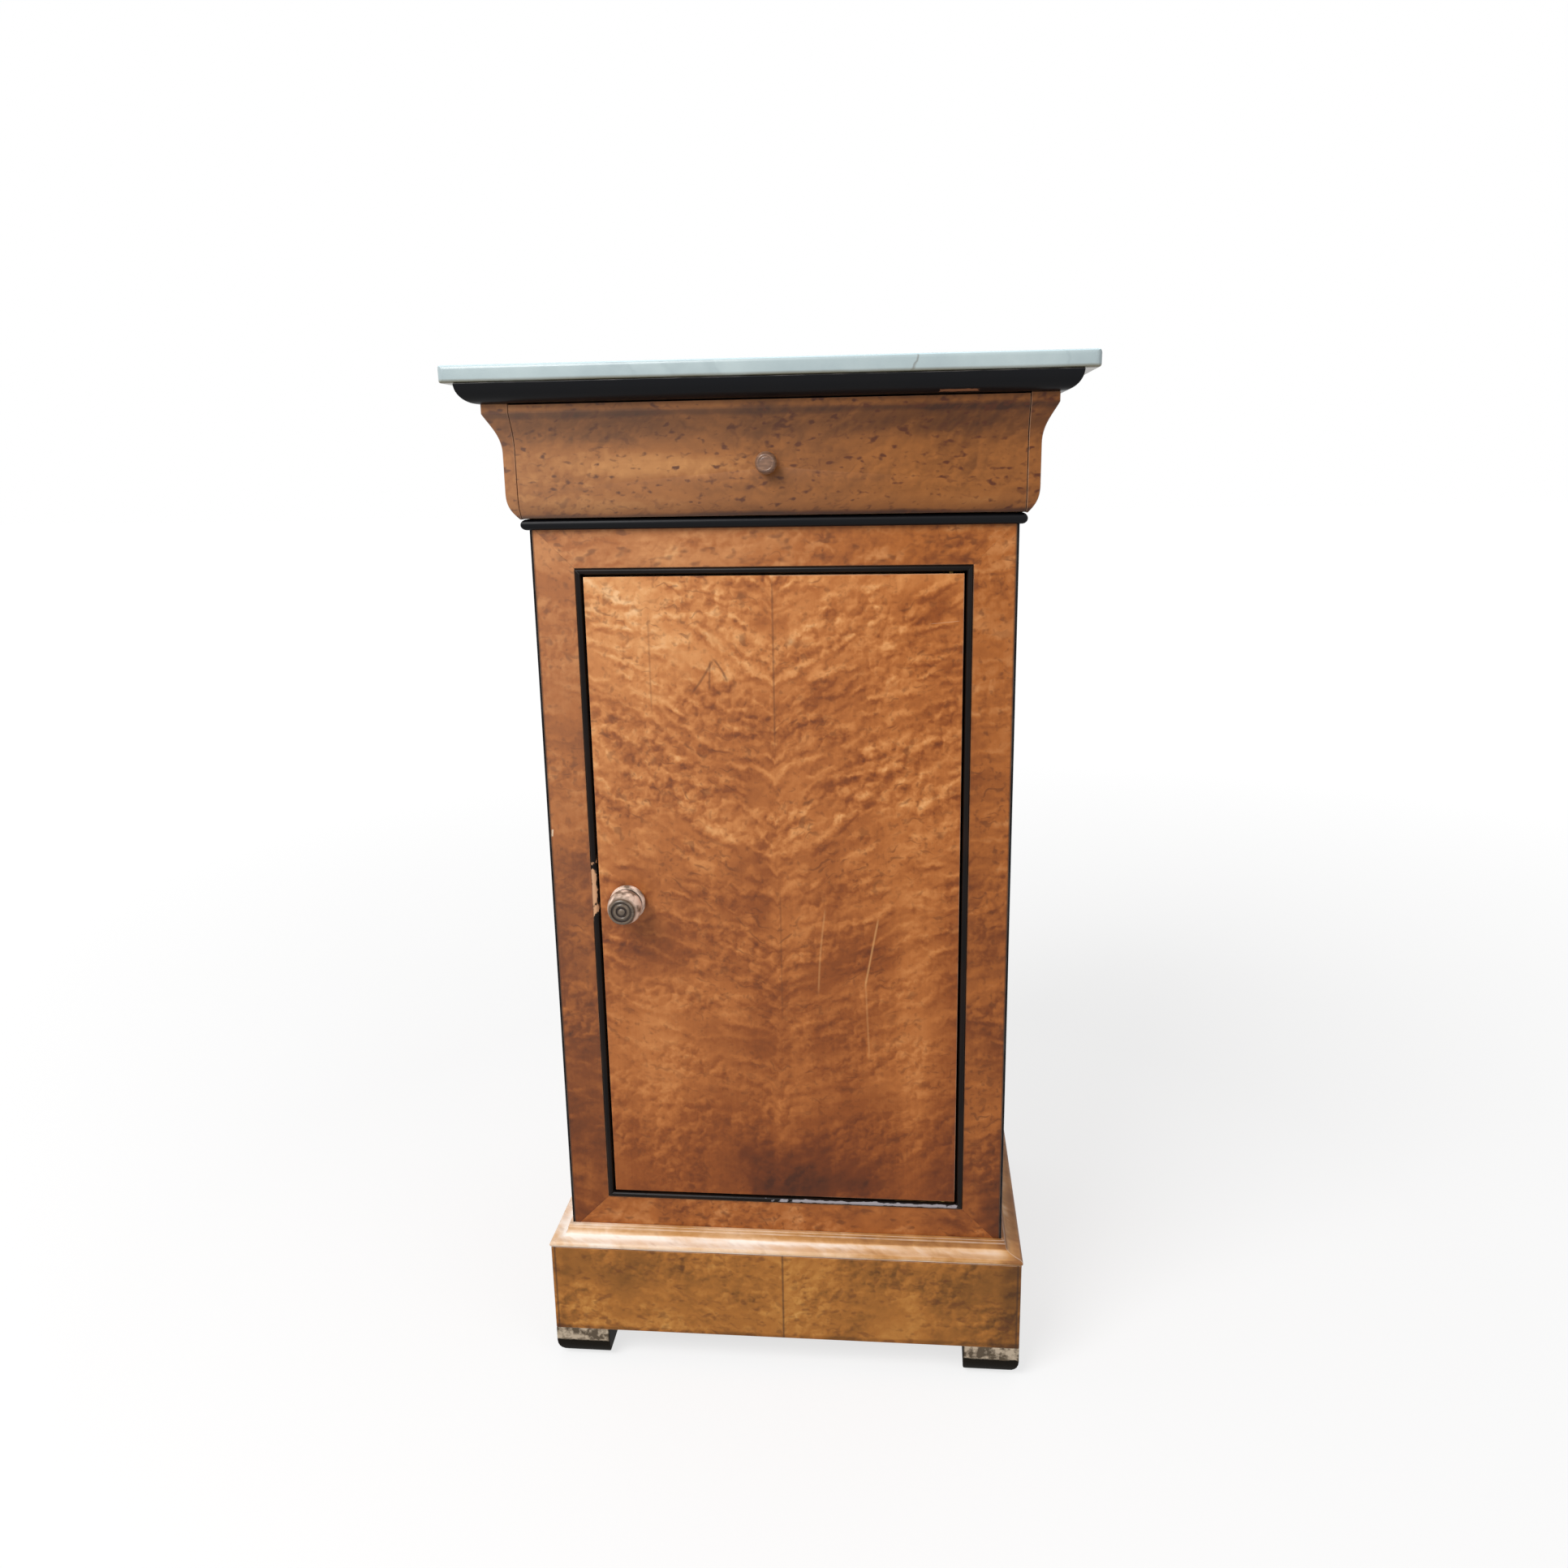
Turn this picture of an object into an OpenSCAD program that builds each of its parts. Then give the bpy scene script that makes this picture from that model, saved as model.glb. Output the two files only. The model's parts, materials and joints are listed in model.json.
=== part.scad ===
// Bedside pot cupboard: a veneered case on a plinth and block feet, with one door, a moulded
// frieze drawer and a loose marble top.
// Millimetres. +Z is up and the front faces -Y. The origin is on the floor under the middle of
// the marble top.

/* [Case] */
// Width of the case across its front
body_w = 340; // [300:1:420]
// Depth of the case from its front face to its back
body_d = 320; // [270:1:380]
// Height of the case from the plinth to the black bead
body_h = 546; // [460:1:640]
// Thickness of the side boards
panel_t = 15; // [12:0.5:20]
// Thickness of the veneers
veneer_t = 1.5; // [1:0.1:2]
// Thickness of the bottom board
bottom_t = 12; // [9:0.5:18]
// Thickness of the back boards
back_t = 9; // [7:0.5:12]
// How far the back boards are let into each side board
rebate_w = 8; // [5:0.5:10]
// Depth of the grooves in the side boards that hold the bottom and the drawer's rails
housing = 5; // [3:0.5:7]
// Width of the half laps between the back boards
lap_w = 8; // [5:0.5:12]
// Gap that shrinkage has opened between the back boards
board_gap = 0.4; // [0.2:0.1:1.5]
// Width of the glue line between pieces that meet edge to edge
seam = 0.1; // [0.05:0.05:0.3]

/* [Front frame] */
// Thickness of the front frame with its veneer
frame_t = 20; // [18:0.5:24]
// Width of each upright
stile_w = 30.5; // [27:0.5:40]
// Height of the rail over the door, up to the bead
top_rail_w = 27; // [22:0.5:40]
// Height of the rail under the door
bottom_rail_w = 24.5; // [20:0.5:36]
// Thickness of the tenons on the rails
tenon_t = 7; // [5:0.5:9]
// Length of the tenons on the rails
tenon_l = 18; // [12:0.5:22]
// Shoulder above and below the tenons on the rails
tenon_edge = 5; // [3:0.5:7]
// Length and thickness of the tongue along the front of each side board
tongue = 6; // [4:0.5:8]
// Width of the black lining round the door
lining_w = 4.5; // [3.8:0.1:7]
// How far the lining stands out of the frame
lining_out = 1.8; // [0.5:0.1:4]

/* [Door] */
// Gap between the door and its lining
door_gap = 1.5; // [1.3:0.1:2.5]
// Gap between the door's back and its stops
stop_gap = 0.3; // [0.2:0.1:1]
// Number of upright boards in the door
door_boards_n = 3; // [2:1:5]
// Height of the cross boards at the door's top and bottom
clamp_w = 48; // [35:1:70]
// Length of the tongues between the door's boards
door_tongue_l = 9; // [6:0.5:14]
// Thickness of the tongues between the door's boards
door_tongue_t = 6; // [4:0.5:8]
// Height of the battens that the door shuts against
stop_h = 15; // [13:0.5:20]
// Depth of the battens that the door shuts against
stop_d = 8; // [5:0.5:12]
// How far the door's stops keep clear of its hinged edge
stop_clear = 30; // [22:1:60]

/* [Pivot hinges] */
// Distance of the pivots from the door's hinged edge
pivot_edge = 9; // [7:0.5:12]
// Distance of the pivots behind the door's face
pivot_face = 4.5; // [4.2:0.1:5]
// Diameter of the pivot pins
pin_d = 4; // [3:0.5:4.5]
// Radial clearance of a turning pin in its bore
pin_play = 0.05; // [0.02:0.01:0.1]
// Thickness of the brass plates
plate_t = 3; // [2:0.1:3.3]
// Width of the brass plates
plate_w = 10; // [9:0.5:14]
// Length of the brass plates
plate_l = 46; // [34:1:70]
// Diameter of the collar that carries the door on its lower pivot
collar_d = 7; // [6:0.5:8]

/* [Door knob and latch] */
// Distance of the knob's axis from the door's free edge
knob_edge = 21.5; // [19:0.5:26]
// Height of the knob's axis above the door's foot
knob_up = 242; // [160:1:320]
// Gap between the turning knob and the door
knob_gap = 0.3; // [0.2:0.1:0.8]
// Widest diameter of the knob
knob_d = 27; // [22:0.5:32]
// Diameter of the knob's face
knob_face_d = 17; // [13:0.5:20]
// How far the knob stands out of the door
knob_out = 26; // [20:0.5:32]
// Diameter of the latch spindle
spindle_d = 8; // [6:0.5:10]
// Reach of the latch's tongue from its axis
latch_reach = 31; // [29:0.5:33]
// Width of the latch's tongue
latch_w = 12; // [11:0.5:16]
// Thickness of the latch's tongue
latch_t = 3; // [2:0.5:4]
// Gap between the latch's tongue and the wear plate
latch_gap = 0.4; // [0.2:0.1:0.8]
// Thickness of the wear plate in the frame
strike_t = 1.2; // [0.8:0.1:2]
// Height of the wear plate in the frame
strike_h = 50; // [40:1:80]

/* [Inside] */
// Height of the shelf above the bottom board
shelf_up = 255; // [160:1:330]
// Thickness of the shelf
shelf_t = 11; // [8:0.5:16]
// How far the shelf stands back from the front frame
shelf_back = 28; // [24:1:60]
// Side of the battens that carry the shelf
batten = 12; // [9:0.5:16]
// Clearance at each end of the loose shelf
shelf_play = 0.5; // [0.2:0.1:1]

/* [Bead and frieze] */
// Height of the black bead
bead_h = 7.5; // [5:0.5:10]
// How far the bead stands out of the case
bead_out = 5; // [4:0.5:7]
// Height of the moulded frieze
frieze_h = 77; // [66:1:96]
// Height of the flat band at the frieze's top
band_h = 6.5; // [4:0.5:9]
// How far the flat band stands out of the case
band_out = 22; // [19:0.5:28]
// How far the belly of the frieze stands out
belly_out = 12; // [9:0.5:15]
// How far the foot of the frieze stands out
frieze_foot_out = 4.8; // [3:0.2:7]

/* [Drawer] */
// Gap over and under the moulded drawer front
front_gap = 0.8; // [0.5:0.1:1.5]
// Gap between the drawer front and the frieze at each end
end_gap = 0.5; // [0.3:0.1:1]
// Gap between the shut drawer front and the side boards
seat_gap = 0.3; // [0.2:0.1:0.8]
// How far the moulded front reaches past the case at each end
front_over = 3; // [1:0.5:4]
// Depth of the moulded front behind the face of the case
facade_in = 6; // [4:0.5:9]
// Clearance of the drawer at each side
drawer_play = 0.8; // [0.4:0.1:1.5]
// Clearance under the drawer
drawer_lift = 0.3; // [0.2:0.1:0.6]
// Clearance over the drawer's sides
drawer_head = 2.5; // [1:0.5:6]
// Gap between the shut drawer and the back boards
drawer_back_gap = 20; // [8:1:60]
// Thickness of the drawer's sides
drawer_side_t = 9; // [7:0.5:12]
// Thickness of the drawer's inner front
drawer_front_t = 13; // [10:0.5:13.5]
// Thickness of the drawer's back
drawer_back_t = 9; // [7:0.5:12]
// How far the drawer's back stays below its sides
drawer_back_drop = 4; // [2:0.5:8]
// Thickness of the drawer's bottom
drawer_bottom_t = 5; // [4:0.5:7]
// Height of the drawer's bottom above the lower edge of its sides
drawer_bottom_up = 7; // [5:0.5:10]
// Depth of the grooves that hold the drawer's bottom
drawer_groove = 4; // [3:0.5:5]
// Number of dovetails at each front corner
tails_n = 3; // [2:1:4]
// Number of dovetails at each back corner
back_tails_n = 2; // [2:1:3]
// Slope of the dovetails
tail_angle = 10; // [6:0.5:13]
// Width of the narrow pins between the dovetails
tail_pin_w = 6; // [4.5:0.5:8]
// Widest diameter of the drawer knob
pull_d = 15; // [12:0.5:18]
// How far the drawer knob stands out of the belly
pull_out = 11; // [8:0.5:16]
// Diameter of the drawer knob's tenon
pull_tenon_d = 6; // [5:0.5:8]
// How far the drawer knob's tenon stops short of the drawer's inside
pull_tenon_short = 3; // [2:0.5:5]

/* [Drawer rails and top frame] */
// Thickness of the rails and runners under the drawer
rail_t = 12; // [9:0.5:16]
// Depth of the rails under the drawer
rail_w = 45; // [30:1:60]
// Width of the runners under the drawer
runner_w = 40; // [28:1:60]
// Depth of the front and back rails of the top frame
top_w = 52; // [40:1:70]
// Width of the kickers between the top frame's rails
kicker_w = 42; // [30:1:60]
// Length of the tenons on the runners and kickers
stub_l = 12; // [8:0.5:20]
// Thickness of the tenons on the runners and kickers
stub_t = 5; // [3:0.5:6]

/* [Cornice and marble] */
// Height of the black cornice
cornice_h = 13; // [10:0.5:18]
// How far the cornice stands out at its top
cornice_out = 35.5; // [31:0.5:35.5]
// How far the cornice stands out at its foot
cornice_foot_out = 23; // [22:0.5:29]
// Thickness of the marble top
marble_t = 11.5; // [9:0.5:22]
// How far the marble reaches past each side of the case
marble_side = 46; // [38:0.5:50]
// How far the marble reaches past the front of the case
marble_front = 36; // [36:0.5:48]
// Radius of the marble's rounded edges
marble_r = 3; // [1:0.5:4]
// Radius of the marble's front corners seen from above
marble_corner_r = 5; // [2:0.5:12]

/* [Plinth and feet] */
// Height of the plinth's face
plinth_h = 73.5; // [58:0.5:95]
// How far the plinth stands out of the case
plinth_out = 15; // [13:0.5:20]
// Thickness of the plinth's boards
plinth_t = 18; // [14:0.5:22]
// Thickness of the moulded cap on the plinth
cap_t = 13.5; // [9:0.5:16]
// How far the cap's nose stands out of the plinth
cap_nose = 1; // [0.5:0.1:2]
// How far the cap reaches under the case
cap_in = 20; // [15:0.5:28]
// Side of the glue blocks in the plinth's corners
block_w = 27; // [20:0.5:34]
// Height of the block feet
foot_h = 27; // [22:0.5:34]
// Side of the block feet
foot_w = 43.5; // [38:0.5:56]
// Radius of the rounded lower edges of the feet
foot_r = 15; // [6:0.5:19]

/* [Hidden] */
// Number of straight lengths in a moulded curve
CURVE_STEPS = 14;
// Facets of a turned piece where it is drawn as a mesh
$fn = 64;
// How far a cutting shape reaches past what it cuts
CUT = 5;

// Sides: -1 is the left and 1 is the right, as seen from the front
LEFT = -1;
RIGHT = 1;

// Places across the case
half_w = body_w / 2;
core_x = half_w - veneer_t;
inner_x = core_x - panel_t;
rebate_x = inner_x + rebate_w;
open_x = half_w - stile_w;
lining_x = open_x - lining_w;
door_x = lining_x - door_gap;
pivot_x = door_x - pivot_edge;
knob_x = knob_edge - door_x;
facade_x = half_w + front_over;
drawer_x = inner_x - drawer_play;
plinth_x = half_w + plinth_out;
cap_out = plinth_out + cap_nose;

// Places from front to back
marble_d = body_d + marble_front;
y_back = marble_d / 2;
y_front = y_back - body_d;
y_core = y_front + veneer_t;
y_inner = y_front + frame_t;
y_back_in = y_back - back_t;
y_door_back = y_inner - stop_gap;
y_pivot = y_front + pivot_face;
y_drawer = y_front + facade_in;
y_drawer_back = y_back_in - drawer_back_gap;

// Heights
z_cap = foot_h + plinth_h;
z_case = z_cap + cap_t;
z_open = z_case + bottom_rail_w;
z_bead = z_case + body_h;
z_open_top = z_bead - top_rail_w;
z_frieze = z_bead + bead_h;
z_cornice = z_frieze + frieze_h;
z_marble = z_cornice + cornice_h;
z_top = z_marble + marble_t;
z_door = z_open + lining_w + door_gap;
z_door_top = z_open_top - lining_w - door_gap;
z_knob = z_door + knob_up;
z_shelf = z_open + shelf_up;
z_drawer = z_frieze + drawer_lift;
z_drawer_top = z_cornice - drawer_head;
z_pull = z_frieze + frieze_h * 0.46;

// Helpers

// A block between two opposite corners
module block(low, high) {
    translate(low) cube(high - low);
}

// What is drawn for the right side, put on the given side
module on_side(side) {
    mirror([side == LEFT ? 1 : 0, 0, 0]) children();
}

// A flat shape given in y and z, drawn out along x from x0 to x1
module along_x(x0, x1) {
    translate([x0, 0, 0]) rotate([90, 0, 90]) linear_extrude(x1 - x0) children();
}

// A flat shape given in x and z, drawn out along y from y0 to y1
module along_y(y0, y1) {
    translate([0, y1, 0]) rotate([90, 0, 0]) linear_extrude(y1 - y0) children();
}

// A cylinder whose axis runs from y0 back to y1
module rod_y(d, y0, y1) {
    translate([0, y1, 0]) rotate([90, 0, 0]) cylinder(d = d, h = y1 - y0);
}

// Points of a curve from a to d that leaves a towards b and reaches d from c
function curve(a, b, c, d, steps = CURVE_STEPS) = [
    for (i = [0 : steps])
        let (t = i / steps, u = 1 - t)
        u * u * u * a + 3 * u * u * t * b + 3 * u * t * t * c + t * t * t * d
];

// Points of an ellipse's arc about a centre, with its radii across and up
function arc(centre, rx, rz, from, to, steps = CURVE_STEPS) = [
    for (i = [0 : steps])
        let (angle = from + (to - from) * i / steps)
        centre + [rx * cos(angle), rz * sin(angle)]
];

// Mouldings: each edge is a list of [distance out of the case, height], from its foot upwards

// Black bead, half round in front of a short flat
function bead_edge() =
    let (r = bead_h / 2)
    arc([bead_out - r, z_bead + r], r, r, -90, 90);

// Frieze: a convex turn-in, an upright belly, a hollow, and a flat band at the top
function frieze_edge() =
    let (
        foot = [frieze_foot_out, z_frieze],
        turn_h = frieze_h * 0.24,
        hollow_h = frieze_h * 0.42,
        belly_foot = [belly_out, z_frieze + turn_h],
        belly_head = [belly_out, z_cornice - hollow_h],
        band_foot = [band_out, z_cornice - band_h]
    )
    concat(
        curve(foot, foot + [0.62 * (belly_out - frieze_foot_out), turn_h * 0.28],
              belly_foot - [0, turn_h * 0.52], belly_foot),
        curve(belly_head, belly_head + [0, 0.45 * (hollow_h - band_h)],
              band_foot - [0.42 * (band_out - belly_out), 0.3 * (hollow_h - band_h)], band_foot),
        [[band_out, z_cornice]]
    );

// Black cornice: a quarter round that swells out under the marble
function cornice_edge() =
    arc([cornice_foot_out, z_marble], cornice_out - cornice_foot_out, cornice_h, -90, 0);

// Cap of the plinth: a small fillet against the case, a hollow that flattens out, and a rounded nose
function cap_edge() =
    let (
        nose_r = cap_t * 0.17,
        fillet = cap_out * 0.17,
        fillet_foot = z_case - cap_t * 0.17,
        nose_top = [cap_out - nose_r, z_cap + 2 * nose_r]
    )
    concat(
        arc([cap_out - nose_r, z_cap + nose_r], nose_r, nose_r, -90, 90, 10),
        curve(nose_top - [nose_r * 0.4, 0], nose_top - [cap_out * 0.5, -cap_t * 0.02],
              [fillet + cap_out * 0.04, fillet_foot - cap_t * 0.36],
              [fillet + cap_out * 0.05, fillet_foot], 10),
        [[fillet, fillet_foot], [fillet, z_case]]
    );

// A straight run of moulding along the front, closed behind at the given depth
module front_run(edge, in) {
    x = half_w + 2 * marble_side;
    low = edge[0];
    high = edge[len(edge) - 1];
    back = [[y_front + in, high[1]], [y_front + in, low[1]]];
    along_x(-x, x) polygon(concat([for (p = edge) [y_front - p[0], p[1]]], back));
}

// A straight run of moulding along the right side, closed inside at the given depth
module side_run(edge, in) {
    low = edge[0];
    high = edge[len(edge) - 1];
    back = [[half_w - in, high[1]], [half_w - in, low[1]]];
    along_y(y_front - 2 * marble_front, y_back)
        polygon(concat([for (p = edge) [half_w + p[0], p[1]]], back));
}

// Plan of a front run, mitred at both corners
module front_plan(out, in) {
    polygon([[-half_w - out, y_front - out], [half_w + out, y_front - out],
             [half_w - in, y_front + in], [in - half_w, y_front + in]]);
}

// Plan of a right side run, mitred at its front corner and drawn back there by a glue line
module side_plan(out, in) {
    polygon([[half_w + out, y_front - out + seam], [half_w + out, y_back],
             [half_w - in, y_back], [half_w - in, y_front + in + seam]]);
}

// The front piece of a moulding that goes round the case
module moulding_front(edge, out, in = 0) {
    intersection() {
        front_run(edge, in);
        linear_extrude(z_top) front_plan(out, in);
    }
}

// One side piece of a moulding that goes round the case
module moulding_side(side, edge, out, in = 0) {
    on_side(side) intersection() {
        side_run(edge, in);
        linear_extrude(z_top) side_plan(out, in);
    }
}

// Colours
WOOD = "#B97239";
WOOD_DARK = "#9A6238";
WOOD_LIGHT = "#D2A06A";
BLACK = "#1C1C20";
PINE = "#C9A46C";
OAK = "#A67C4A";
MARBLE = "#CBD8DA";
BRASS = "#B0904A";
IRON = "#4A4744";

// Marble top

// Outline of a slab's edge: square at the back and rounded at the front, from 0 down to the length
module slab_section(length) {
    polygon(concat(
        arc([marble_r - length, marble_r], marble_r, marble_r, 270, 180, 6),
        arc([marble_r - length, marble_t - marble_r], marble_r, marble_r, 180, 90, 6),
        [[0, marble_t], [0, 0]]
    ));
}

module marble_top() {
    x = half_w + marble_side;
    corner = [x - marble_corner_r, marble_corner_r - marble_d];
    r = marble_corner_r;
    color(MARBLE) translate([0, y_back, z_marble]) intersection() {
        along_x(-x, x) slab_section(marble_d);
        union() {
            along_y(-marble_d, 0) slab_section(x);
            mirror([1, 0, 0]) along_y(-marble_d, 0) slab_section(x);
        }
        linear_extrude(marble_t) polygon(concat(
            [[x, 0], [-x, 0]],
            arc([-corner[0], corner[1]], r, r, 180, 270, 6),
            arc(corner, r, r, 270, 360, 6)
        ));
    }
}

// Cornice and top frame

module cornice_front() {
    color(BLACK) moulding_front(cornice_edge(), cornice_out);
}

module cornice_side(side) {
    color(BLACK) moulding_side(side, cornice_edge(), cornice_out);
}

// A flat tenon of the runners and kickers, centred in the height from z to z + thick
module stub(x0, x1, y0, y1, z, thick) {
    low = z + (thick - stub_t) / 2;
    block([x0, y0, low], [x1, y1, low + stub_t]);
}

// The tenons at both ends of the kickers, which start inside them
module kicker_stubs() {
    x0 = half_w - kicker_w + CUT;
    x1 = half_w - CUT;
    for (side = [LEFT, RIGHT]) on_side(side) {
        stub(x0, x1, y_front + top_w - stub_l, y_front + top_w + CUT, z_cornice, cornice_h);
        stub(x0, x1, y_back - top_w - CUT, y_back - top_w + stub_l, z_cornice, cornice_h);
    }
}

module top_rail(y0, y1) {
    color(PINE) difference() {
        block([-half_w, y0, z_cornice], [half_w, y1, z_marble]);
        kicker_stubs();
    }
}

module kickers() {
    color(PINE) {
        for (side = [LEFT, RIGHT]) on_side(side) {
            block([half_w - kicker_w, y_front + top_w, z_cornice], [half_w, y_back - top_w, z_marble]);
        }
        kicker_stubs();
    }
}

// Sides

// The grooves in the right side board, and the boards' ends that sit in them
module housing_slot(z, thick) {
    block([inner_x, y_inner, z], [inner_x + housing, y_back_in, z + thick]);
}

module side_panel(side) {
    color(PINE) on_side(side) difference() {
        union() {
            block([inner_x, y_inner, z_case], [core_x, y_back, z_cornice]);
            block([inner_x, y_drawer + seat_gap, z_frieze], [core_x, y_inner, z_cornice]);
            side_tongue();
        }
        block([inner_x - CUT, y_back_in, z_case - CUT], [rebate_x, y_back + CUT, z_cornice + CUT]);
        housing_slot(z_open - bottom_t, bottom_t);
        housing_slot(z_frieze - rail_t, rail_t);
    }
}

// The tongue along the front edge of the right side board. The groove for it runs past its foot.
module side_tongue(past = 0) {
    x = core_x - panel_t / 2;
    block([x - tongue / 2, y_inner - tongue, z_case - past], [x + tongue / 2, y_inner + CUT, z_bead]);
}

module side_veneer(side) {
    y_head = y_drawer + seat_gap;
    color(WOOD) on_side(side)
        along_x(core_x, half_w)
            polygon([[y_core, z_case], [y_back, z_case], [y_back, z_cornice],
                     [y_head, z_cornice], [y_head, z_frieze], [y_core, z_frieze]]);
}

// Frieze beside the drawer: it runs back along the side and turns the front corner

module frieze_side(side) {
    end_x = facade_x + end_gap;
    color(WOOD_DARK) on_side(side) difference() {
        intersection() {
            side_run(frieze_edge(), 0);
            front_run(frieze_edge(), body_d);
        }
        block([0, y_front - 2 * marble_front, z_frieze - CUT], [end_x, y_drawer + seat_gap, z_cornice + CUT]);
    }
}

module bead() {
    color(BLACK) {
        moulding_front(bead_edge(), bead_out);
        for (side = [LEFT, RIGHT]) moulding_side(side, bead_edge(), bead_out);
    }
}

// Front frame

// The tenons at both ends of the top and bottom rails, which start inside them
module rail_tenons(side) {
    y = (y_core + y_inner) / 2 - tenon_t / 2;
    on_side(side) {
        block([open_x - CUT, y, z_case + tenon_edge], [open_x + tenon_l, y + tenon_t, z_open - tenon_edge]);
        block([open_x - CUT, y, z_open_top + tenon_edge],
              [open_x + tenon_l, y + tenon_t, z_frieze - tenon_edge]);
    }
}

module frame_stile(side) {
    color(PINE) difference() {
        on_side(side) difference() {
            block([open_x, y_core, z_case], [core_x, y_inner, z_frieze]);
            side_tongue(CUT);
        }
        rail_tenons(side);
        if (side == LEFT) strike_plate(CUT);
    }
}

// A rail of the front frame between two heights, with the tenons that lie in its height
module frame_rail(z0, z1) {
    color(PINE) {
        block([-open_x, y_core, z0], [open_x, y_inner, z1]);
        intersection() {
            block([-half_w, y_front, z0], [half_w, y_inner, z1]);
            union() {
                rail_tenons(LEFT);
                rail_tenons(RIGHT);
            }
        }
    }
}

// A sheet of veneer on the front frame, cut out in x and z
module facing_sheet(low, high) {
    block([low[0], y_front, low[1]], [high[0], y_core, high[1]]);
}

// The part of the front beside the door opening that belongs to the right upright, cut to 45 degrees
module stile_wedge() {
    far = body_h;
    along_y(y_front - CUT, y_core + CUT)
        polygon([[open_x, z_open], [open_x, z_open_top],
                 [open_x + far, z_open_top + far], [open_x + far, z_open - far]]);
}

module facing_side(side) {
    color(WOOD) on_side(side) intersection() {
        facing_sheet([open_x, z_case], [core_x, z_frieze]);
        stile_wedge();
    }
}

module facing_rail(z0, z1) {
    color(WOOD) difference() {
        facing_sheet([-core_x, z0], [core_x, z1]);
        stile_wedge();
        mirror([1, 0, 0]) stile_wedge();
    }
}

module corner_lines() {
    color(BLACK) for (side = [LEFT, RIGHT]) on_side(side)
        block([core_x, y_front, z_case], [half_w, y_core, z_frieze]);
}

// Black lining round the door, mitred, with a rounded front edge

// Section of the lining: [distance into the opening, y]
function lining_section() =
    let (r = lining_w / 2)
    concat([[0, y_inner]], arc([r, y_front - lining_out + r], -r, -r, 0, 180, 8), [[lining_w, y_inner]]);

module lining_upright(side) {
    on_side(side) intersection() {
        translate([0, 0, z_open]) linear_extrude(z_open_top - z_open)
            polygon([for (p = lining_section()) [open_x - p[0], p[1]]]);
        along_y(y_front - CUT, y_inner + CUT)
            polygon([[open_x, z_open + seam], [open_x, z_open_top - seam],
                     [lining_x, z_open_top - lining_w - seam], [lining_x, z_open + lining_w + seam]]);
    }
}

// A level piece of lining against the rail at height z, which it leaves in direction up
module lining_level(z, up) {
    intersection() {
        along_x(-open_x, open_x) polygon([for (p = lining_section()) [p[1], z + up * p[0]]]);
        along_y(y_front - CUT, y_inner + CUT)
            polygon([[-open_x, z], [open_x, z],
                     [lining_x, z + up * lining_w], [-lining_x, z + up * lining_w]]);
    }
}

module door_lining() {
    color(BLACK) difference() {
        union() {
            for (side = [LEFT, RIGHT]) lining_upright(side);
            lining_level(z_open, 1);
            lining_level(z_open_top, -1);
        }
        pivot_seat(z_open + lining_w - plate_t, z_open + lining_w + CUT);
        pivot_seat(z_open_top - lining_w - CUT, z_open_top - lining_w + plate_t);
    }
}

// Back, bottom and shelf

module back_boards() {
    joint_x = rebate_x / 3;
    lap = lap_w / 2;
    mid = y_back - back_t / 2;
    color(OAK) {
        for (side = [LEFT, RIGHT]) on_side(side) difference() {
            block([joint_x - lap, y_back_in, z_case], [rebate_x, y_back, z_cornice]);
            block([joint_x - lap - CUT, y_back_in - CUT, z_case - CUT],
                  [joint_x + lap + board_gap, mid + board_gap / 2, z_cornice + CUT]);
        }
        difference() {
            block([-joint_x - lap, y_back_in, z_case], [joint_x + lap, y_back, z_cornice]);
            for (side = [LEFT, RIGHT]) on_side(side)
                block([joint_x - lap - board_gap, mid - board_gap / 2, z_case - CUT],
                      [joint_x + lap + CUT, y_back + CUT, z_cornice + CUT]);
        }
    }
}

module bottom_board() {
    x = inner_x + housing;
    color(PINE) block([-x, y_inner, z_open - bottom_t], [x, y_back_in, z_open]);
}

module shelf() {
    x = inner_x - shelf_play;
    color(PINE) block([-x, y_inner + shelf_back, z_shelf], [x, y_back_in, z_shelf + shelf_t]);
}

module shelf_battens() {
    color(OAK) for (side = [LEFT, RIGHT]) on_side(side)
        block([inner_x - batten, y_inner + shelf_back, z_shelf - batten], [inner_x, y_back_in, z_shelf]);
}

// Rails and runners under the drawer

// The tenons at both ends of the runners, which start inside them
module runner_stubs() {
    z = z_frieze - rail_t;
    x0 = inner_x - runner_w;
    x1 = inner_x - CUT;
    for (side = [LEFT, RIGHT]) on_side(side) {
        stub(x0 + CUT, x1, y_inner + rail_w - stub_l, y_inner + rail_w + CUT, z, rail_t);
        stub(x0 + CUT, x1, y_back_in - rail_w - CUT, y_back_in - rail_w + stub_l, z, rail_t);
    }
}

module drawer_rail(y0, y1) {
    x = inner_x + housing;
    color(OAK) difference() {
        block([-x, y0, z_frieze - rail_t], [x, y1, z_frieze]);
        runner_stubs();
    }
}

module drawer_runners() {
    color(OAK) {
        for (side = [LEFT, RIGHT]) on_side(side)
            block([inner_x - runner_w, y_inner + rail_w, z_frieze - rail_t],
                  [inner_x + housing, y_back_in - rail_w, z_frieze]);
        runner_stubs();
    }
}

// Battens behind the rails that the door shuts against

module door_stops() {
    x = door_x - stop_clear;
    lap = lining_w + door_gap;
    color(OAK) {
        block([-x, y_inner, z_open], [x, y_inner + stop_d, z_open + stop_h]);
        block([-x, y_inner, z_open_top - stop_h], [x, y_inner + stop_d, z_open_top + lap]);
    }
}

// Brass wear plate behind the left upright, where the latch turns in

module strike_plate(past = 0) {
    block([-inner_x, y_inner - strike_t, z_knob - strike_h / 2],
          [past - open_x, y_inner + past, z_knob + strike_h / 2]);
}

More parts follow.
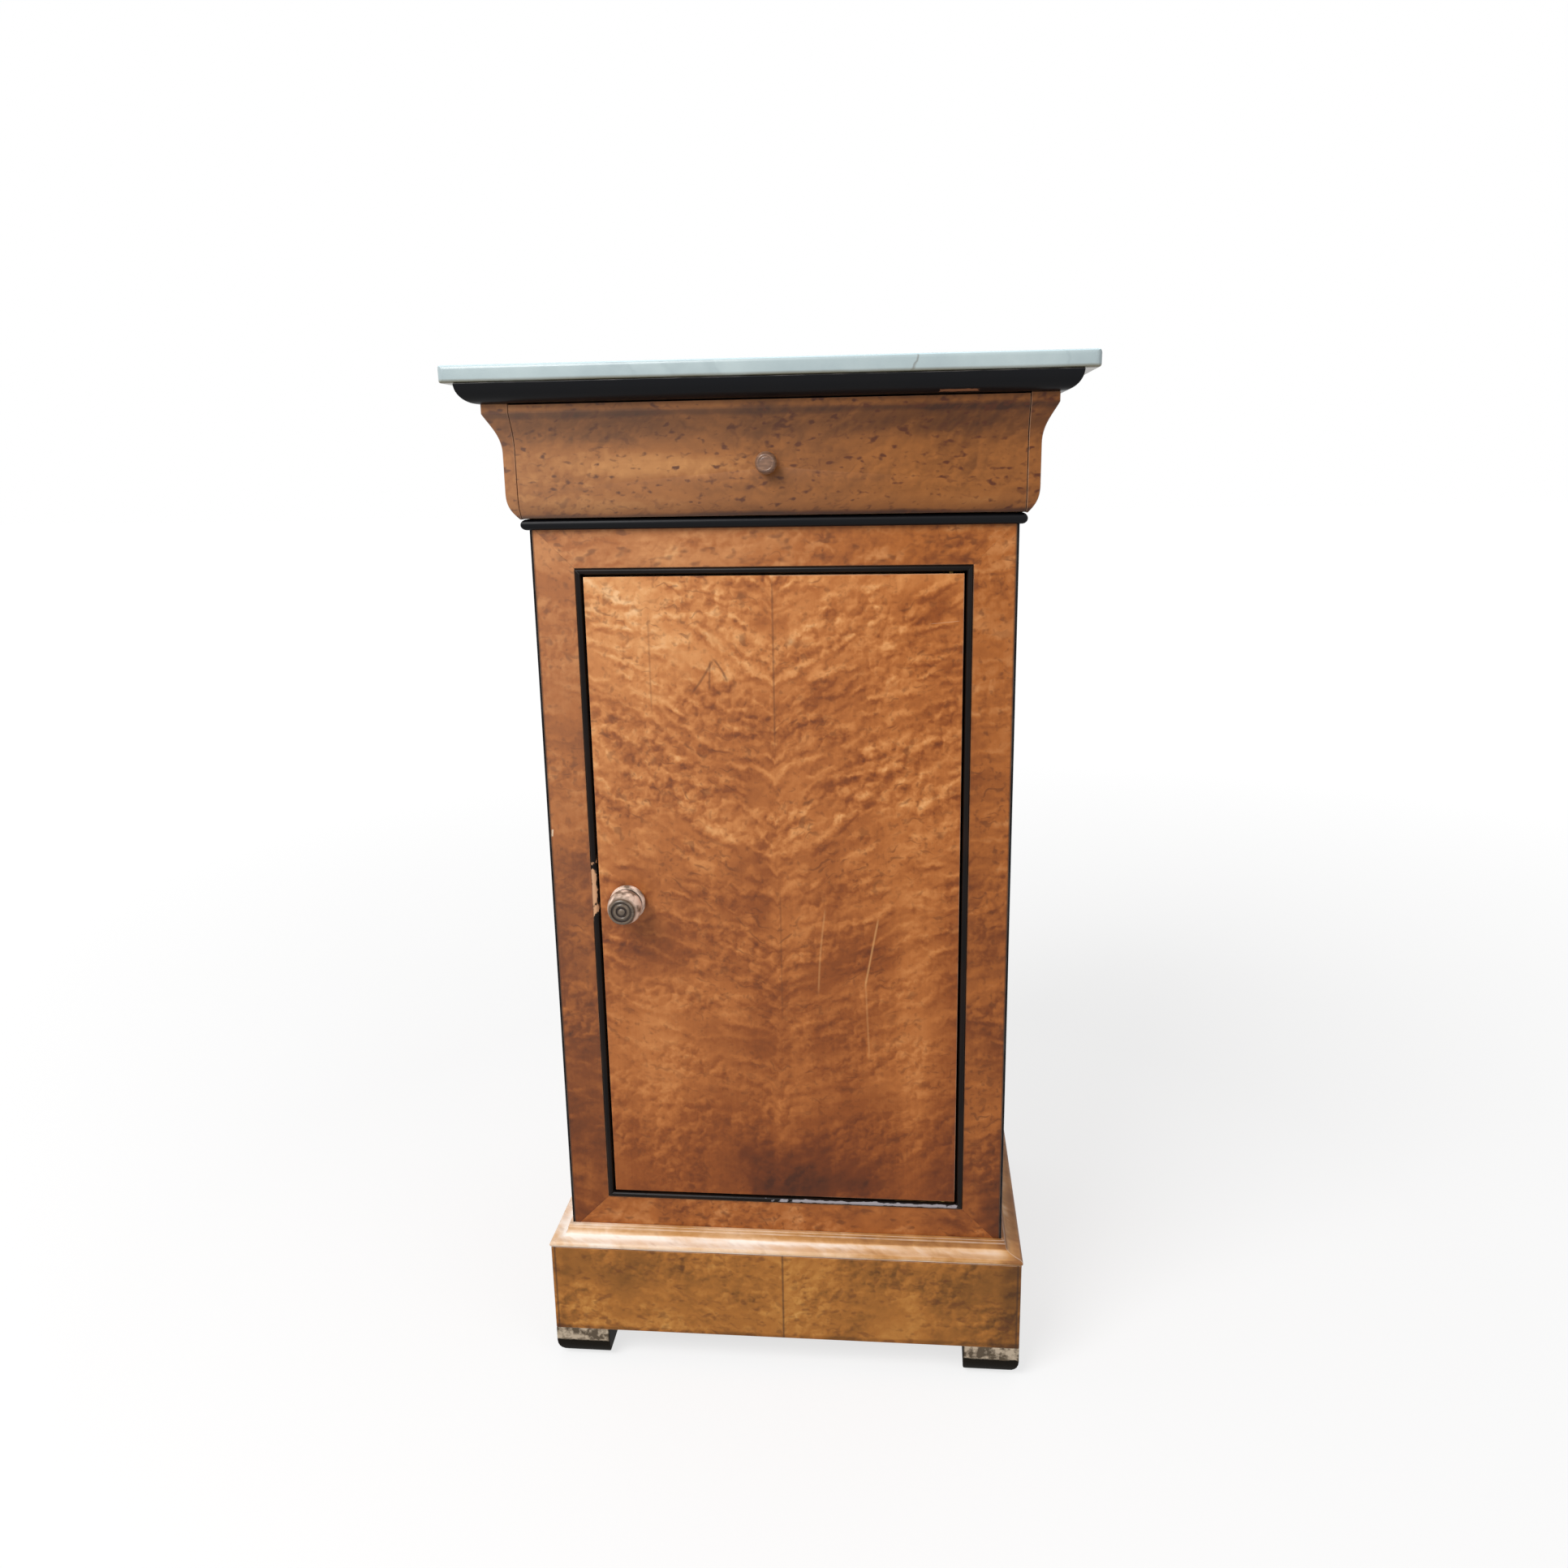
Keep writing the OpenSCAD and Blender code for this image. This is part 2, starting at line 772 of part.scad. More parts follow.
module latch_strike() {
    color(BRASS) strike_plate();
}

// Pivot hinges

// The space for a brass plate between two heights, opened at its front and outer end by the given length
module pivot_seat(z0, z1, past = 0) {
    block([door_x - plate_l, y_core - past, z0], [door_x + past, y_core + plate_w, z1]);
}

// A brass plate without its bore, from height z up
module pivot_plate(z) {
    pivot_seat(z, z + plate_t);
}

// A round along the hinge's axis between two heights
module pivot_round(d, z0, z1) {
    translate([pivot_x, y_pivot, z0]) cylinder(d = d, h = z1 - z0);
}

module frame_pivots() {
    d = pin_d + 2 * pin_play;
    color(BRASS) difference() {
        union() {
            pivot_plate(z_open + lining_w - plate_t);
            pivot_plate(z_open_top - lining_w);
        }
        pivot_round(d, z_open, z_open + lining_w + CUT);
        pivot_round(d, z_open_top - lining_w - CUT, z_open_top);
    }
}

module door_pivots() {
    play = 0.3;
    color(BRASS) {
        pivot_plate(z_door);
        pivot_plate(z_door_top - plate_t);
        pivot_round(pin_d, z_open + lining_w - plate_t + play, z_door + plate_t / 2);
        pivot_round(pin_d, z_door_top - plate_t / 2, z_open_top - lining_w + plate_t - play);
        pivot_round(collar_d, z_open + lining_w + play, z_door);
    }
}

// Door

// The tongues at both ends of the door's upright boards, which start inside them.
// The grooves for them run out past the door's edges.
module clamp_tongues(past = 0) {
    x = door_x + past;
    y = (y_core + y_door_back) / 2 - door_tongue_t / 2;
    for (z = [z_door + clamp_w - door_tongue_l, z_door_top - clamp_w - CUT])
        block([-x, y, z], [x, y + door_tongue_t, z + door_tongue_l + CUT]);
}

// The bore that the latch spindle turns in
module spindle_bore() {
    translate([knob_x, 0, z_knob]) rod_y(spindle_d + 2 * pin_play, y_front - CUT, y_inner + CUT);
}

module door_boards() {
    w = 2 * door_x / door_boards_n;
    color(PINE) difference() {
        for (i = [0 : door_boards_n - 1]) intersection() {
            block([i * w - door_x + (i > 0 ? seam : 0), y_core, z_door],
                  [(i + 1) * w - door_x, y_door_back, z_door_top]);
            union() {
                block([-door_x, y_core, z_door + clamp_w], [door_x, y_door_back, z_door_top - clamp_w]);
                clamp_tongues();
            }
        }
        spindle_bore();
    }
}

module door_clamps() {
    color(PINE) difference() {
        union() {
            block([-door_x, y_core, z_door], [door_x, y_door_back, z_door + clamp_w]);
            block([-door_x, y_core, z_door_top - clamp_w], [door_x, y_door_back, z_door_top]);
        }
        clamp_tongues(CUT);
        pivot_seat(z_door - CUT, z_door + plate_t, CUT);
        pivot_seat(z_door_top - plate_t, z_door_top + CUT, CUT);
    }
}

// One leaf of the book-matched veneer on the door, from the middle seam to one edge
module door_leaf(side) {
    color(WOOD) difference() {
        on_side(side) block([0, y_front, z_door], [door_x, y_core, z_door_top]);
        spindle_bore();
    }
}

// Knob and latch: both turn about the spindle

// Outline of the door knob: [radius, distance out of the door]
function knob_outline() =
    let (
        r = knob_d / 2,
        face = knob_face_d / 2,
        skirt = knob_out * 0.25,
        neck = knob_out * 0.33,
        ring = 0.6
    )
    concat(
        [[0, knob_gap], [r * 0.88, knob_gap]],
        arc([r - skirt * 0.45, knob_gap + skirt * 0.5], skirt * 0.45, skirt * 0.5, -80, 80, 8),
        curve([r * 0.86, neck], [r * 0.97, knob_out * 0.45], [r * 0.95, knob_out * 0.7],
              [face + 0.6, knob_out - 1.6], 10),
        arc([face - 1, knob_out - 1.4], 1.4, 1.4, 20, 90, 4),
        [[face - 2.2, knob_out], [face - 2.6, knob_out - ring - 0.5], [face * 0.55, knob_out - ring - 0.5],
         [face * 0.52, knob_out - 0.3], [face * 0.42, knob_out - 0.1], [face * 0.38, knob_out - ring]],
        curve([face * 0.33, knob_out - ring], [face * 0.33, knob_out - 0.1],
              [face * 0.2, knob_out], [0, knob_out], 4)
    );

// Depth of the spindle's end inside the knob
function spindle_seat() = knob_out * 0.6;

module door_knob() {
    color(WOOD_DARK) translate([knob_x, y_front, z_knob]) rotate([90, 0, 0]) difference() {
        rotate_extrude() polygon(knob_outline());
        translate([0, 0, -CUT]) cylinder(d = spindle_d, h = CUT + spindle_seat());
    }
}

// Front face of the latch's tongue
function latch_y() = y_inner + latch_gap;

module latch_spindle() {
    nut = latch_t * 1.4;
    half = spindle_d * 0.31;
    color(IRON) translate([knob_x, 0, z_knob]) {
        rod_y(spindle_d, y_front - spindle_seat(), latch_y());
        block([-half, latch_y() - latch_t, -half], [half, latch_y() + latch_t + nut / 2, half]);
        rod_y(latch_w * 0.8, latch_y() + latch_t, latch_y() + latch_t + nut);
    }
}

// Outline of the tongue about its axis, standing upright, in x and z
module tongue_outline() {
    r = latch_w / 2;
    tip = latch_w * 0.36;
    polygon(concat(
        arc([0, 0], r, r, 180, 360, 12),
        [[tip, latch_reach - tip]],
        arc([0, latch_reach - tip], tip, tip, 0, 180, 10)
    ));
}

module latch_tongue() {
    half = spindle_d * 0.31;
    color(IRON) translate([knob_x, 0, z_knob]) difference() {
        along_y(latch_y(), latch_y() + latch_t) tongue_outline();
        block([-half, latch_y() - CUT, -half], [half, latch_y() + latch_t + CUT, half]);
    }
}

// Drawer

// Flared tails for one corner of the drawer: narrow at y0, where they grow out of the side, and wide
// at y1. The sockets for them run past the faces of the board that they are cut in.
module tails(side, n, y0, y1, past = 0) {
    pitch = (z_drawer_top - z_drawer) / n;
    out = sign(y1 - y0);
    flare = abs(y1 - y0) * tan(tail_angle);
    wide = pitch - tail_pin_w / 2;
    root = y0 - out * CUT;
    end = y1 + out * past;
    on_side(side) for (i = [0 : n - 1]) {
        low = z_drawer + pitch * (i + 0.5) - wide / 2;
        high = low + wide;
        along_x(drawer_x - drawer_side_t, drawer_x + past)
            polygon([[root, low + flare], [y0, low + flare], [y1, low], [end, low],
                     [end, high], [y1, high], [y0, high - flare], [root, high - flare]]);
    }
}

// The tails at the front and back corners of one side
module front_tails(side, past = 0) {
    tails(side, tails_n, y_drawer + drawer_front_t, y_drawer, past);
}

module back_tails(side, past = 0) {
    tails(side, back_tails_n, y_drawer_back - drawer_back_t, y_drawer_back, past);
}

// The drawer's bottom board, which also cuts its own grooves
module bottom_panel(past = 0) {
    x = drawer_x - drawer_side_t + drawer_groove;
    z = z_drawer + drawer_bottom_up;
    block([-x, y_drawer + drawer_front_t - drawer_groove, z], [x, y_drawer_back + past, z + drawer_bottom_t]);
}

// The moulded front, cut out of the same frieze that runs round the sides
module drawer_facade() {
    color(WOOD) difference() {
        intersection() {
            front_run(frieze_edge(), facade_in);
            block([-facade_x, y_front - 2 * marble_front, z_frieze + front_gap],
                  [facade_x, y_drawer, z_cornice - front_gap]);
        }
        pull_tenon();
    }
}

module drawer_front() {
    color(PINE) difference() {
        block([-drawer_x, y_drawer, z_drawer], [drawer_x, y_drawer + drawer_front_t, z_drawer_top]);
        front_tails(LEFT, CUT);
        front_tails(RIGHT, CUT);
        bottom_panel(CUT);
        pull_tenon();
    }
}

module drawer_side(side) {
    color(OAK) difference() {
        union() {
            on_side(side) block([drawer_x - drawer_side_t, y_drawer + drawer_front_t, z_drawer],
                                [drawer_x, y_drawer_back - drawer_back_t, z_drawer_top]);
            front_tails(side);
            back_tails(side);
        }
        bottom_panel(CUT);
    }
}

module drawer_back() {
    z = z_drawer + drawer_bottom_up + drawer_bottom_t;
    top = z_drawer_top - drawer_back_drop;
    color(OAK) difference() {
        block([-drawer_x, y_drawer_back - drawer_back_t, z], [drawer_x, y_drawer_back, top]);
        back_tails(LEFT, CUT);
        back_tails(RIGHT, CUT);
    }
}

module drawer_bottom() {
    color(OAK) bottom_panel();
}

// The tenon that holds the drawer knob, from inside the knob to inside the drawer's front
module pull_tenon() {
    translate([0, 0, z_pull])
        rod_y(pull_tenon_d, y_front - belly_out - pull_out * 0.3,
              y_drawer + drawer_front_t - pull_tenon_short);
}

// Outline of the drawer knob: [radius, distance out of the belly]
function pull_outline() =
    let (r = pull_d / 2, neck = r * 0.62, face = r * 0.72)
    concat(
        [[0, 0], [neck + 0.8, 0], [neck + 0.8, 1]],
        curve([neck, 1.4], [neck - 0.6, pull_out * 0.35], [r - 0.4, pull_out * 0.3], [r, pull_out * 0.55], 8),
        curve([r, pull_out * 0.62], [r, pull_out * 0.82], [face + 0.6, pull_out * 0.92], [face, pull_out], 6),
        [[face * 0.78, pull_out], [face * 0.7, pull_out - 0.7], [face * 0.42, pull_out - 0.7],
         [face * 0.36, pull_out - 0.1], [0, pull_out]]
    );

module drawer_knob() {
    color(WOOD_DARK) {
        translate([0, y_front - belly_out, z_pull]) rotate([90, 0, 0])
            rotate_extrude() polygon(pull_outline());
        pull_tenon();
    }
}

// Plinth and feet

// A plain edge for the plinth's boards
function plinth_edge() = [[plinth_out, foot_h], [plinth_out, z_cap]];

module plinth_front() {
    color(WOOD) moulding_front(plinth_edge(), plinth_out, plinth_t - plinth_out);
}

module plinth_side(side) {
    color(WOOD) moulding_side(side, plinth_edge(), plinth_out, plinth_t - plinth_out);
}

module plinth_back() {
    x = plinth_x - plinth_t;
    color(PINE) block([-x, y_back - plinth_t, foot_h], [x, y_back, z_cap]);
}

module plinth_cap() {
    back_w = cap_in + cap_out;
    color(WOOD_LIGHT) {
        moulding_front(cap_edge(), cap_out, cap_in);
        for (side = [LEFT, RIGHT]) moulding_side(side, cap_edge(), cap_out, cap_in);
        block([cap_in - half_w + seam, y_back - back_w, z_cap], [half_w - cap_in - seam, y_back, z_case]);
    }
}

module plinth_blocks() {
    x = plinth_x - plinth_t;
    y = y_front - plinth_out + plinth_t;
    color(PINE) for (side = [LEFT, RIGHT]) on_side(side) {
        block([x - block_w, y, foot_h], [x, y + block_w, z_cap]);
        block([x - block_w, y_back - plinth_t - block_w, foot_h], [x, y_back - plinth_t, z_cap]);
    }
}

// Section of a foot with its outer lower edge rounded, from 0 at its outer side inwards
module foot_section() {
    polygon(concat(
        arc([foot_r, foot_r], foot_r, foot_r, 270, 180, 8),
        [[0, foot_h], [foot_w, foot_h], [foot_w, 0]]
    ));
}

// A block foot whose outer corner is at the origin, reaching back along +y and in along +x
module foot_block() {
    intersection() {
        along_y(0, foot_w) foot_section();
        along_x(0, foot_w) foot_section();
    }
}

module foot_front(side) {
    color(BLACK) on_side(side) translate([plinth_x, y_front - plinth_out, 0])
        mirror([1, 0, 0]) foot_block();
}

module foot_back(side) {
    color(BLACK) on_side(side) translate([plinth_x, y_back, 0])
        mirror([0, 1, 0]) mirror([1, 0, 0]) foot_block();
}

marble_top();
cornice_front();
cornice_side(LEFT);  // cornice_left
cornice_side(RIGHT);  // cornice_right
top_rail(y_front, y_front + top_w);  // top_rail_front
top_rail(y_back - top_w, y_back);  // top_rail_back
kickers();
side_panel(LEFT);  // side_panel_left
side_panel(RIGHT);  // side_panel_right
side_veneer(LEFT);  // side_veneer_left
side_veneer(RIGHT);  // side_veneer_right
frieze_side(LEFT);  // frieze_left
frieze_side(RIGHT);  // frieze_right
bead();
frame_stile(LEFT);  // frame_stile_left
frame_stile(RIGHT);  // frame_stile_right
frame_rail(z_open_top, z_frieze);  // frame_rail_top
frame_rail(z_case, z_open);  // frame_rail_bottom
facing_side(LEFT);  // facing_left
facing_side(RIGHT);  // facing_right
facing_rail(z_open_top, z_frieze);  // facing_top
facing_rail(z_case, z_open);  // facing_bottom
corner_lines();
door_lining();
back_boards();
bottom_board();
shelf();
shelf_battens();
drawer_rail(y_inner, y_inner + rail_w);  // drawer_rail_front
drawer_rail(y_back_in - rail_w, y_back_in);  // drawer_rail_back
drawer_runners();
door_stops();
latch_strike();
frame_pivots();
plinth_front();
plinth_side(LEFT);  // plinth_left
plinth_side(RIGHT);  // plinth_right
plinth_back();
plinth_cap();
plinth_blocks();
foot_front(LEFT);  // foot_front_left
foot_front(RIGHT);  // foot_front_right
foot_back(LEFT);  // foot_back_left
foot_back(RIGHT);  // foot_back_right
door_boards();
door_clamps();
door_leaf(LEFT);  // door_veneer_left
door_leaf(RIGHT);  // door_veneer_right
door_pivots();
door_knob();
latch_spindle();
latch_tongue();
drawer_facade();
drawer_front();
drawer_side(LEFT);  // drawer_side_left
drawer_side(RIGHT);  // drawer_side_right
drawer_back();
drawer_bottom();
drawer_knob();
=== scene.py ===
"""Dressed model of a bedside pot cupboard: veneered case, door, frieze drawer and loose marble top."""
from __future__ import annotations

import json
import logging
import math
from collections.abc import Callable, Sequence
from dataclasses import dataclass, field, replace
from enum import Enum

import bmesh
import bpy
from bmesh.types import BMesh
from mathutils import Matrix, Vector

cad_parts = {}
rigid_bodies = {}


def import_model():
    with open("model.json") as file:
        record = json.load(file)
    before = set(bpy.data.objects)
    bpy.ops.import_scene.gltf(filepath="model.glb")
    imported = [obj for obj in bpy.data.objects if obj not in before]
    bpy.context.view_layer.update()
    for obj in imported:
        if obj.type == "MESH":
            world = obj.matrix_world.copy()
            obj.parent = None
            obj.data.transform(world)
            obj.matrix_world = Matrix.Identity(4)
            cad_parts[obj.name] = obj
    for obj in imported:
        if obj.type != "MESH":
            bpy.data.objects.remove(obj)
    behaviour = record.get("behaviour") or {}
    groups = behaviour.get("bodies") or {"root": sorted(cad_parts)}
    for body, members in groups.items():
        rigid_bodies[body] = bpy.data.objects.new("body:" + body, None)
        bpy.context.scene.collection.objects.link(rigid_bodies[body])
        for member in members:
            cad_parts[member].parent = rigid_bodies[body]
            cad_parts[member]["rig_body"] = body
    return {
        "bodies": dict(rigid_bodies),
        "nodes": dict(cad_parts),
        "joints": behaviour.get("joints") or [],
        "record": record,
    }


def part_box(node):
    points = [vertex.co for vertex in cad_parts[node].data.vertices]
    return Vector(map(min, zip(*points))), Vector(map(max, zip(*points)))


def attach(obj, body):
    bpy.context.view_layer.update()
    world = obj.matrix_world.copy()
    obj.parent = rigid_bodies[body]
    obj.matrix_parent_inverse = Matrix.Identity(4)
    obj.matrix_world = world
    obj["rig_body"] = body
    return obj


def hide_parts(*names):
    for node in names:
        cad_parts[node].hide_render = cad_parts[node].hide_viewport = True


log = logging.getLogger("pot_cupboard")

# Edges that turn more than this are arrises, and get worn round
ARRIS_ANGLE = math.radians(30)
# Facets that turn less than these are one flat face, one curved surface and one turned surface
FLAT_ANGLE = math.radians(0.5)
SMOOTH_ANGLE = math.radians(20)
TURNED_ANGLE = math.radians(35)
# Points nearer than this are one point, and those this near to a cut lie on it
SAME_POINT = 1e-6
ON_CUT = 1e-5
# Facets round a turned knob
TURNED_STEPS = 72
# Face attribute that marks the worn arrises
ARRIS = "arris"
# Heights between which the look of the case's veneer changes
CASE_FOOT, CASE_HEAD = 0.137, 0.647

Socket = bpy.types.NodeSocket
Tree = bpy.types.NodeTree
Triple = tuple[float, float, float]
Stops = tuple[tuple[float, str], ...]


class Body(Enum):
    """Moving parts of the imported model."""

    CARCASE = "carcase"
    DOOR = "door"
    LATCH = "latch"
    DRAWER = "drawer"


class Grain(Enum):
    """Way that the wood's fibres run: along X, Y or Z, in this order."""

    LEVEL = "level"
    DEEP = "deep"
    UPRIGHT = "upright"


def linear(colour: str) -> tuple[float, float, float, float]:
    """Turn an sRGB hex colour into Blender's linear colour.

    Args:
        colour: Colour such as "#B97239".

    Returns:
        Red, green, blue and a full alpha.
    """
    parts = [int(colour[i : i + 2], 16) / 255 for i in (1, 3, 5)]
    red, green, blue = (c / 12.92 if c <= 0.04045 else ((c + 0.055) / 1.055) ** 2.4 for c in parts)
    return (red, green, blue, 1.0)


def add(
    tree: Tree, kind: str, *values: object, out: str | int = 0, stops: Stops = (), **settings: object
) -> Socket | None:
    """Add one shader node, set it up and link it.

    Args:
        tree: Node tree of the material or the world.
        kind: Blender's name for the node, without its "ShaderNode", and the operation of a maths node.
        *values: A value or a socket for each input in use, in their order.
        out: The output that is wanted, by its name or by its number among those in use.
        stops: Places and colours of a colour ramp.
        **settings: The node's own properties, and inputs by name, which starts with a capital.

    Returns:
        The wanted output, or nothing where the node has none.
    """
    kind, _, operation = kind.partition(" ")
    node = tree.nodes.new(f"ShaderNode{kind}")
    if operation:
        node.operation = operation
    if kind == "Mix":
        # Every mix here is one of colours
        node.data_type = "RGBA"
    named = {name: value for name, value in settings.items() if name[0].isupper()}
    for name, value in settings.items():
        if name not in named:
            setattr(node, name, value)
    used = [socket for socket in node.inputs if socket.enabled]
    for socket, value in [*zip(used, values), *((node.inputs[name], value) for name, value in named.items())]:
        if isinstance(value, bpy.types.NodeSocket):
            tree.links.new(value, socket)
        else:
            socket.default_value = linear(value) if isinstance(value, str) else value
    for i, (place, colour) in enumerate(stops):
        ramp = node.color_ramp.elements
        stop = ramp[i] if i < 2 else ramp.new(place)
        stop.position = place
        stop.color = linear(colour)
    if isinstance(out, str):
        return node.outputs[out]
    results = [socket for socket in node.outputs if socket.enabled]
    return results[out] if results else None


def new_material(name: str) -> tuple[bpy.types.Material, Tree, Socket]:
    """Make an empty material.

    Args:
        name: Its name.

    Returns:
        The material, its node tree and its Object coordinates.
    """
    material = bpy.data.materials.new(name)
    material.use_nodes = True
    material.node_tree.nodes.clear()
    return material, material.node_tree, add(material.node_tree, "TexCoord", out="Object")


def grown(
    tree: Tree, at: Socket, scale: float | Triple, detail: float = 2.0, roughness: float = 0.5,
    levels: tuple[float, ...] = (), moved: Triple | None = None,
) -> Socket:
    """Draw one cloudy pattern.

    Args:
        tree: The material's node tree.
        at: Vector that it is drawn on.
        scale: Clouds in a metre, along each axis where they differ.
        detail: How many finer sizes it holds.
        roughness: How strong the finer sizes are.
        levels: Two levels of the pattern, and the values that they turn to where those aren't 0 and 1.
        moved: How far the pattern is moved, in its own clouds.

    Returns:
        A value from 0 to 1, about 0.5 on average, or one between the values of the levels.
    """
    if moved or isinstance(scale, tuple):
        stretch = scale if isinstance(scale, tuple) else (scale, scale, scale)
        at = add(tree, "Mapping", Vector=at, Location=moved or (0, 0, 0), Scale=stretch)
        scale = 1.0
    value = add(tree, "TexNoise", Vector=at, Scale=scale, Detail=detail, Roughness=roughness)
    return add(tree, "MapRange", value, *levels) if levels else value


def torn(
    tree: Tree, at: Socket, near: Socket, scale: float, reach: float, detail: float = 1.0,
    roughness: float = 0.5, middle: float = 0.0,
) -> Socket:
    """Tear the edges of whatever is drawn on a vector.

    Args:
        tree: The material's node tree.
        at: The vector.
        near: Vector that the tears lie on.
        scale: Tears in a metre.
        reach: How far they pull, in metres.
        detail: How many finer tears there are.
        roughness: How strong the finer tears are.
        middle: Level of the tears that pulls nowhere.

    Returns:
        The torn vector.
    """
    pull = add(tree, "TexNoise", Vector=near, Scale=scale, Detail=detail, Roughness=roughness, out="Color")
    if middle:
        pull = add(tree, "VectorMath SUBTRACT", pull, (middle, middle, middle))
    pull = add(tree, "VectorMath MULTIPLY", pull, (reach, reach, reach))
    return add(tree, "VectorMath ADD", pull, at)


def thin_line(
    tree: Tree, value: Socket, at: Socket | float, half_width: float, strength: float, core: float = 0.0002
) -> Socket:
    """Draw a thin line where a value passes a place.

    Args:
        tree: The material's node tree.
        value: The value.
        at: The place.
        half_width: Half the width of the line with its soft edges.
        strength: How strong the line is.
        core: Half the width that has the full strength.

    Returns:
        How much of the line's colour shows.
    """
    away = add(tree, "Math SUBTRACT", value, at)
    away = add(tree, "Math ABSOLUTE", away)
    return add(tree, "MapRange", away, core, half_width, strength, 0.0)


# Finishes


@dataclass(frozen=True)
class Polish:
    """Surface of a polished or bare finish: how it shines and how deep its grain is."""

    roughness: float = 0.45
    specular: float = 0.4
    coat: float = 0.0
    coat_roughness: float = 0.25
    metallic: float = 0.0
    depth: float = 0.00002

    def close(self, tree: Tree, colour: Socket, height: Socket) -> None:
        """End a material with its shader.

        Args:
            tree: The material's node tree.
            colour: Base colour.
            height: Relief from 0 to 1, as deep as the finish says.
        """
        bump = add(tree, "Bump", Height=height, Distance=self.depth, Strength=1.0)
        shader = add(tree, "BsdfPrincipled", **{
            "Base Color": colour,
            "Roughness": self.roughness,
            "Specular IOR Level": self.specular,
            "Coat Weight": self.coat,
            "Coat Roughness": self.coat_roughness,
            "Metallic": self.metallic,
            "Normal": bump,
        })
        add(tree, "OutputMaterial", Surface=shader)


@dataclass(frozen=True)
class Cloud:
    """Soft cloud in the veneer, darker or lighter than what is round it; on the frieze and the cap some are
    painted highlights and painted shade.
    """

    x: float
    z: float
    wide: float
    high: float
    tone: float


@dataclass(frozen=True)
class Scratch:
    """Thin scratch or crease on the front, from its foot to its head."""

    foot: tuple[float, float]
    head: tuple[float, float]
    bow: float = 0.0
    strength: float = 0.4
    colour: str = "#D9A066"
    half_width: float = 0.0011


@dataclass(frozen=True)
class Sheet:
    """Places that the patterns of a sheet of veneer are drawn on.

    The fibres and the small figure follow `own`, which is straight. The large figure follows `flow`, which
    slants and which a matched sheet mirrors at its middle. `height` is a share of the case.
    """

    tree: Tree
    place: Socket
    x: Socket
    z: Socket
    height: Socket
    own: Socket
    flow: Socket


